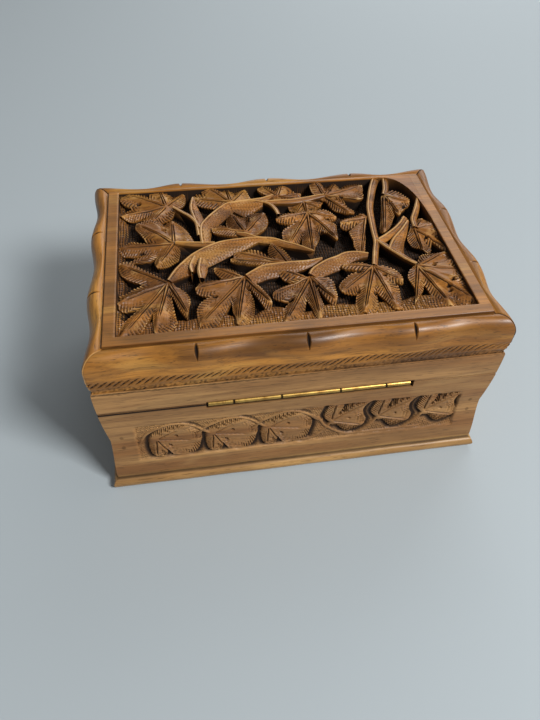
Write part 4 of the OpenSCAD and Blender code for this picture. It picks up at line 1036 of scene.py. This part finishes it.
# Each stem: its crest from left to right or upwards, then how far its broad facet reaches to
# the right of that direction at the start, halfway and at the end, or to the left if negative
lidStems = [
    ([(-61.5, -19.5), (-57, -11), (-50, -2), (-45.5, 2), (-40.5, 5.3), (-34.5, 8.3), (-28, 9.7),
      (-21, 10.3), (-15, 10.5), (-8, 9)], 2, 9.4, 0.6),
    ([(-23.5, 16.3), (-18.5, 14.7), (-12.5, 10.7), (-5, 8.7), (1, 5), (7.5, 1), (15, -5)],
     1.4, 3.4, 0.8),
    ([(-23, -20.5), (-19, -17.5), (-12.5, -13.8), (0, -12.8), (10, -12.8), (18, -11.5)],
     5.5, 6.6, 0.6),
    ([(9, -23.5), (11.5, -19.5), (16, -16), (20.5, -13.2), (26, -11), (31, -8.6), (37, -8.5),
      (43, -10.5)], 4.5, 6.8, 2.2),
    ([(43.3, -20), (45.3, -13.3), (47.3, -6.7), (49.3, 0), (50.3, 9), (51.4, 17.3), (52.5, 25.3),
      (54, 33.3), (57, 42.7), (60.5, 52.7), (65, 63)], 2.2, 3.0, 3.8),
    ([(66, -22), (61.3, -17), (57.3, -11), (54, -6), (50.5, 0.5)], 1.6, 4.6, 2.4),
    ([(51.5, 1), (57, 4.8), (63, 9.7), (68, 15), (71.5, 20)], 3, 3.4, 2.4),
    ([(55, -8), (60, 0.5), (66.5, 8), (72.5, 16)], 9, 5, 1),
    ([(74.5, 10), (75.5, 17.3), (78.5, 23.5), (81.5, 29.5), (84.3, 36), (87.5, 44)],
     2.4, 2.6, 0.8),
    ([(66, 44), (68.5, 51), (71, 63)], 2.0, 3.0, 3.4),
    ([(-42.5, 8), (-42.7, 17), (-42, 25), (-39.3, 30), (-35.3, 35.5), (-30.5, 40.7), (-26, 44.8),
      (-20, 46.2), (-12, 47), (-5.3, 48), (1.5, 50.7)], 4, 6.5, 1),
    ([(-24.5, 44.5), (-18, 46), (-11, 46), (-5, 43.5)], 4.5, 9.6, 2.5),
    ([(-6, 45), (-2, 41.5), (0.3, 36), (1.2, 30.5)], -2.6, -2.2, -1.6),
    ([(-4, 44.3), (2, 44.7), (11, 44.5), (20.5, 45.8), (27, 47.2), (31.3, 47.7)], 1.6, 2.6, 1.6),
    ([(-56.5, 44.5), (-52, 39.3), (-48, 34.7), (-45.3, 30), (-43, 23)], -1.4, -2.0, -1.8),
    ([(-44, 16), (-44.6, 28), (-46, 37), (-46.5, 44), (-45, 53)], 2.4, 5.5, 0.8),
    ([(-56.5, 11.7), (-49.3, 10.4), (-42.7, 9.4), (-36, 8.7)], 1.4, 2.4, 2.2),
    ([(-45.5, -20), (-46, -13), (-44.5, -4)], 2.0, 4.4, 3),
    ([(-49.5, -15), (-50, -9), (-47.5, -2)], 0.8, 1.6, 1.6),
]
halfX, halfY, _ = panelHigh
fieldX, fieldY = halfX - panelShape["border"], halfY - panelShape["border"]
fieldFar = halfY - panelShape["farBorder"]
groundZ = panelTop - panelShape["groundDepth"]
rootZ = groundZ - panelShape["rootDepth"]


def makeLeaf(name, leaf, number):
    # Rays from where the veins meet out to the margin, then down its side to the ground; the
    # height falls along the rays, hollows beside the veins and turns down at the margin, and
    # every lobe lifts and tilts by its own amount
    s = leafShape
    origin, tips, holes, margin = (np.array(v, float).reshape(-1, 2) for v in leaf)
    tips = tips - origin
    turn, radius = leafMargin(margin - origin, s["marginStep"] / detail)
    teeth = leafCuts(radius, turn, tips, 0 * radius, lidCuts)[3]
    radius = radius - s["toothDepth"] * teeth * smooth(*s["toothFrom"], radius)
    share = np.linspace(0, 1, int(s["rayPoints"] * detail)) ** 0.85
    flat = np.zeros(len(share))
    out, fall, shade = (np.concatenate([flat, s[key]])[None, :]
                        for key in ("wallOut", "wallFall", "wallShade"))
    share = np.concatenate([share, np.ones(len(s["wallOut"]))])[None, :]
    r = radius[:, None] * share + np.maximum(out, -0.6 * radius[:, None])
    theta = np.broadcast_to(turn[:, None], r.shape)
    x, y = r * np.cos(theta), r * np.sin(theta)
    rim = np.stack([radius * np.cos(turn), radius * np.sin(turn)], -1)[::2]
    fromRim = fromLine(x, y, rim)
    lines, cuts, beside, _ = leafCuts(r, theta, tips, fromRim, lidCuts)
    # share of each lobe in a point, by the angle to its vein
    lobe = np.arange(len(tips))
    _, away = nearestVein(theta, np.arctan2(tips[:, 1], tips[:, 0]))
    near = np.exp(-(away / s["lobeWidth"]) ** 2) + 1e-9
    near = near / near.sum(-1, keepdims=True)
    lift = (near * s["lift"] * np.sin(2.1 * lobe + number)).sum(-1)
    tilt = (near * s["tilt"] * (0.5 + np.sin(1.9 * lobe + 1.3 * number))).sum(-1)
    top = panelTop - s["drop"] + s["topSpread"] * np.sin(number * 2.3)
    z = (top + lift * smooth(*s["liftRun"], r) - s["tipDrop"] * (r / 30) ** 2
         - tilt * np.sqrt(np.minimum(beside, s["tiltReach"]) ** 2 + 1)
         - s["edgeDrop"] * smooth(s["edgeRun"], 0, fromRim)
         - s["scoop"] * np.sin(np.pi * np.clip(beside / s["scoopWidth"], 0, 1))
         - lidCuts["veinDepth"] * lines - lidCuts["cutDepth"] * cuts)
    x, y = x + origin[0, 0], y + origin[0, 1]
    hole = np.zeros_like(z)
    for a, b in holes:
        hole = np.maximum(hole, smooth(*s["holeEdge"],
                                       np.hypot((x - a) / s["holeStretch"], y - b)))
    z = (np.minimum(z + s["toolMarks"] * ripple(x, y, 2.6), panelTop - 0.1)
         - s["holeDepth"] * hole)
    z = z * (1 - fall) + rootZ * fall
    # pale along the rim and the veins' ribs as wear and painted highlight, and worn patches;
    # painted shade in the knife lines, cuts and holes, and darker patches; the sides painted
    # darker downwards as shade
    wearAndHighlight = (s["rimWearAndHighlight"] * smooth(1.2, 0.2, fromRim) * (1 - cuts)
            + s["veinWearAndHighlight"] * smooth(0.5, 0.1, beside)
            + s["wornPatch"] * smooth(0.1, 0.9, ripple(x, y, 4.5)))
    shaded = (0.95 * lines + 0.95 * cuts + hole
              + s["darkPatch"] * smooth(-0.2, -1, ripple(x, y, 5.5)))
    recess = np.clip(shaded - wearAndHighlight * (shaded < 0.25), -1, 1)
    recess = np.where(fall > 0, shade, recess)
    # rays become columns, so that the last one joins the first
    points = np.stack([x, y, z], -1).transpose(1, 0, 2).reshape(-1, 3)
    makePiece(f"leaf_{name}", [(points, gridQuads(*x.T.shape, closeCols=True),
                                recess.T.ravel())],
              "lid", "carved_panel", walnutPanel)


def makeStem(path, *widths):
    # A crest with a short steep fall on one side and a broad, stippled facet on the other,
    # whose fall grows with the distance from the crest; then walls down to the ground. The
    # facet's width follows a parabola through its three values
    s = stemShape
    line = smoothPath(path, s["gridStep"] / detail)
    run = np.gradient(line, axis=0)
    run /= np.linalg.norm(run, axis=1, keepdims=True)
    normal = np.stack([run[:, 1], -run[:, 0]], -1) * np.sign(widths[1])
    share = np.linspace(0, 1, len(line))[:, None]
    start, middle, end = np.abs(widths)
    wide = (start * (1 - share) * (1 - 2 * share) + 4 * middle * share * (1 - share)
            + end * share * (2 * share - 1))
    behind = np.minimum(s["behind"], 0.35 * wide)
    wall = np.arange(1, 4) / 3
    across = np.concatenate([-1 - wall[::-1], [-1, -0.5], np.linspace(0, 1, s["facetPoints"]),
                             1 + wall])[None, :]
    t = np.clip(across, -1, 1)
    down = np.clip(np.abs(across) - 1, 0, 1)
    offset = np.where(t < 0, behind * t, wide * t)
    fall = np.where(t < 0, s["behindSlope"] * -offset,
                    s["facetSlope"] * offset + s["facetDroop"] * wide * t ** 4)
    offset = offset - np.sign(across) * np.minimum(down * s["spread"], wide * 0.45)
    x = line[:, :1] + normal[:, :1] * offset
    y = line[:, 1:] + normal[:, 1:] * offset
    stipple = (s["stipple"] * ripple(x, y, s["stippleSize"]) * smooth(0.06, 0.2, t)
               * smooth(2.4, 4.5, wide))
    knife = (np.exp(-((offset - s["knifeAt"]) / s["knifeHalf"]) ** 2) * smooth(1.8, 2.6, wide)
             * (down == 0))
    z = panelTop - s["drop"] - fall + stipple - s["knifeDepth"] * knife
    z = z * (1 - down) + rootZ * down
    # pale along the crest as wear and painted highlight, and worn patches; painted shade over the
    # facet, in the knife line and down the sides; the stipple's raised points painted pale and its
    # pits dark
    wearAndHighlight = (s["crestWearAndHighlight"] * np.exp(-(offset / s["crestHalf"]) ** 2)
            + s["wornPatch"] * smooth(0.1, 0.8, ripple(x, y, 5)))
    recess = np.clip(s["facetShade"] * smooth(0.1, 1, t) + s["knifeShade"] * knife
                     - s["stippleShade"] * stipple - wearAndHighlight, -1, 1)
    recess = np.where(down > 0, s["sideShade"] + 0.5 * down, recess)
    x = np.clip(x, -fieldX - s["past"], fieldX + s["past"])
    y = np.clip(y, -fieldY - s["past"], fieldFar + s["past"])
    return np.stack([x, y, z], -1).reshape(-1, 3), gridQuads(*x.shape), recess.ravel()


def panelLines(half, near, far):
    # Grid lines across the panel: even ones in the field, and each border's own with a rounded
    # outer edge and a sharp inner one
    s = panelShape
    field = np.linspace(near - half + 0.03, half - far - 0.03,
                        int((2 * half - near - far) / s["gridStep"] * detail))
    low, high = (np.concatenate([[0, 0, 0.12, 0.3], np.linspace(0.8, wide - 0.4, 8),
                                 [wide - 0.15, wide]]) for wide in (near, far))
    return np.concatenate([-half + low, field, (half - high)[::-1]])


def makePanelBoard():
    # A height field over the whole panel: flat border, punched ground that banks up to the
    # front and left border, and straight outer edges down to the rails
    s = panelShape
    x, y = np.meshgrid(panelLines(halfX, s["border"], s["border"]),
                       panelLines(halfY, s["border"], s["farBorder"]), indexing="ij")
    level = 0 * x
    edge = np.minimum(halfX - np.abs(x), halfY - np.abs(y))
    inner = np.minimum(fieldX - np.abs(x), np.minimum(fieldY + y, fieldFar - y))
    rim = inner > -0.01
    crown = s["outerRound"] * smooth(0.35, 0, edge) + s["innerRound"] * smooth(0.3, 0, -inner)
    border = (panelTop - crown - s["borderEdge"] * rim
              - s["borderWave"] * (1 + ripple(x, y, 12)) * smooth(0, 2, edge))
    (frontRise, frontRun), (leftRise, leftRun) = s["frontBank"], s["leftBank"]
    bank = (frontRise * smooth(*frontRun, fieldY + y + 3.0 * ripple(x, level, 7))
            + leftRise * smooth(*leftRun, fieldX + x + 1.5 * ripple(level, y, 7)))
    punch = (np.cos(2 * np.pi * (x + 0.5 * ripple(x, y, 5)) / s["punchPitch"])
             + np.cos(2 * np.pi * (y + 0.5 * ripple(y, x, 6)) / s["punchPitch"])) / 2
    ground = (groundZ + np.clip(bank, 0, s["highestBank"]) + s["punchDepth"] * punch
              + s["groundWave"] * ripple(x, y, 3.1))
    z = np.where(inner > 0, ground, border)
    z[[0, -1], :] = railTop
    z[:, [0, -1]] = railTop
    sunk = np.clip((panelTop - z) / s["groundDepth"], 0, 1)
    # painted shade in the deep ground, painted highlight on the punched grid's raised tops
    low = s["groundShade"] + s["deepShade"] * sunk ** 2 + s["punchShade"] * punch
    # the border: painted shade at the joint with the moulding and down its inner wall
    flat = (s["borderShade"] + s["outerShade"] * smooth(0.3, 0, edge) + s["innerShade"] * rim
            + 0.2 * smooth(0.4, 0, -inner))
    recess = np.where(inner > 0, np.clip(low, -0.4, 1), flat)
    makePiece("panel_ground_and_border",
              [(np.stack([x, y, z], -1).reshape(-1, 3), gridQuads(*x.shape), recess.ravel())],
              "lid", "carved_panel", walnutPanel)


def makeSpandrel():
    # Flat corner of the border outside a curve like a quarter of an ellipse, walled down
    s = spandrelShape
    a = np.radians(np.linspace(0, 90, s["points"]))[:, None]
    spanX, spanY = s["length"] + 1, s["depth"] + 1
    curveX = fieldX - spanX + spanX * np.sin(a) ** s["bulge"]
    curveY = fieldFar - spanY + spanY * np.cos(a) ** s["bulge"]
    across = np.concatenate([[0, 0, 0.006], np.linspace(0.05, 1, 8), [1]])[None, :]
    x = curveX + (fieldX + s["overlap"] - curveX) * across
    y = curveY + (fieldFar + s["overlap"] - curveY) * across
    z = np.full(x.shape, panelTop - s["sunk"])
    z[:, 1] -= s["bevel"]
    z[:, [0, -1]] = rootZ
    # the walls and the bevel are painted dark as shade
    recess = np.full(x.shape, s["shade"])
    recess[:, :2] = s["wallShade"], s["edgeShade"]
    # the two ends go down as well, so the open underside is flat
    x, y, z, recess = (np.vstack([v[:1], v, v[-1:]]) for v in (x, y, z, recess))
    z[[0, -1]] = rootZ
    makePiece("corner_spandrel",
              [(np.stack([x, y, z], -1).reshape(-1, 3), gridQuads(*x.shape), recess.ravel())],
              "lid", "carved_panel", walnutPanel)


makePanelBoard()
makeSpandrel()
for number, (name, leaf) in enumerate(lidLeaves.items()):
    makeLeaf(name, leaf, number)
makePiece("vine_stems", [makeStem(*stem) for stem in lidStems], "lid", "carved_panel",
          walnutPanel)
print("carved panel made")


# The metal parts keep the frame's own shapes
metalNodes = [
    (brassMetal, ("hinge_leaf_body", "hinge_leaf_lid", "hinge_pin", "hinge_screws_body",
                  "hinge_screws_lid")),
    (ironMetal, ("corner_nails", "bottom_nails")),
]
for metal, nodes in metalNodes:
    for node in nodes:
        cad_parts[node].data.materials.clear()
        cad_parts[node].data.materials.append(metal)
print("metal finished")


stageLook = {
    "floor": "#adb6ba", "floorHalf": 3000, "world": "#f1f3f5", "worldStrength": 0.235,
    "aim": (0, 0, 40),
    "keyPower": 28.0, "keySize": 0.46, "keyPlace": (780, -900, 1200),   # sizes in metres
    "fillPower": 7.0, "fillSize": 1.1, "fillPlace": (500, 1000, 700),
}


def makeFloor():
    # A square of plain pale card on z = 0
    s = stageLook["floorHalf"]
    mesh = bpy.data.meshes.new("floor")
    corners = np.array([(-s, -s, 0), (s, -s, 0), (s, s, 0), (-s, s, 0)])
    mesh.from_pydata((corners * mm).tolist(), [], [(0, 1, 2, 3)])
    floor = bpy.data.objects.new("floor", mesh)
    bpy.context.scene.collection.objects.link(floor)
    material, tree = newMaterial("paleCard")
    shader = addNode(tree, "ShaderNodeBsdfPrincipled", {
        "Base Color": linear(stageLook["floor"]), "Roughness": 0.9})
    addNode(tree, "ShaderNodeOutputMaterial", {"Surface": shader.outputs[0]})
    mesh.materials.append(material)


def makeLight(name):
    # A square area light at its place, turned to the middle of the box
    light = bpy.data.lights.new(name + "Light", "AREA")
    light.energy, light.size = stageLook[name + "Power"], stageLook[name + "Size"]
    lamp = bpy.data.objects.new(name + "Light", light)
    lamp.location = Vector(stageLook[name + "Place"]) * mm
    toBox = Vector(stageLook["aim"]) * mm - lamp.location
    lamp.rotation_euler = toBox.to_track_quat("-Z", "Y").to_euler()
    bpy.context.scene.collection.objects.link(lamp)


def makeWorld():
    # Even light from all round; the camera sees its colour at full strength
    world = bpy.data.worlds.new("studio")
    world.use_nodes = True
    tree = world.node_tree
    tree.nodes.clear()
    path = addNode(tree, "ShaderNodeLightPath")
    seen = addNode(tree, "ShaderNodeMath", {0: path.outputs["Is Camera Ray"],
                                            1: path.outputs["Is Transmission Ray"]},
                   operation="MAXIMUM")
    strength = addNode(tree, "ShaderNodeMapRange", {
        0: seen.outputs[0], 3: stageLook["worldStrength"], 4: 1.0})
    sky = addNode(tree, "ShaderNodeBackground", {
        "Color": linear(stageLook["world"]), "Strength": strength.outputs[0]})
    addNode(tree, "ShaderNodeOutputWorld", {"Surface": sky.outputs[0]})
    bpy.context.scene.world = world


cameraView = {
    "place": (-50.127, -269.838, 303.205),
    "right": (0.98576197, -0.16492332, 0.0327664),
    "down": (-0.09605334, -0.71226168, -0.69531076),
    "ahead": (0.13801121, 0.68226358, -0.71796192),
    # in pixels of the 540 x 720 picture; sensor in millimetres, clip distances in metres
    "focal": 639.65, "shiftX": -17.86, "shiftY": -8.86, "longSide": 720,
    "sensor": 36, "clip": (0.01, 20),
}


def makeCamera():
    # Axes as columns: right, up and backwards; lens and shift against the picture's long side
    v = cameraView
    data = bpy.data.cameras.new("camera")
    data.sensor_width = v["sensor"]
    data.lens = v["focal"] / v["longSide"] * v["sensor"]
    data.shift_x, data.shift_y = v["shiftX"] / v["longSide"], v["shiftY"] / v["longSide"]
    data.clip_start, data.clip_end = v["clip"]
    camera = bpy.data.objects.new("camera", data)
    axes = np.array([v["right"], -np.array(v["down"]), -np.array(v["ahead"])]).T
    camera.matrix_world = (Matrix.Translation(Vector(v["place"]) * mm)
                           @ Matrix(axes.tolist()).to_4x4())
    bpy.context.scene.collection.objects.link(camera)
    bpy.context.scene.camera = camera


makeFloor()
makeWorld()
makeLight("key")
makeLight("fill")
makeCamera()
bpy.context.scene.view_settings.view_transform = "Standard"
print("stage, lights and camera set")
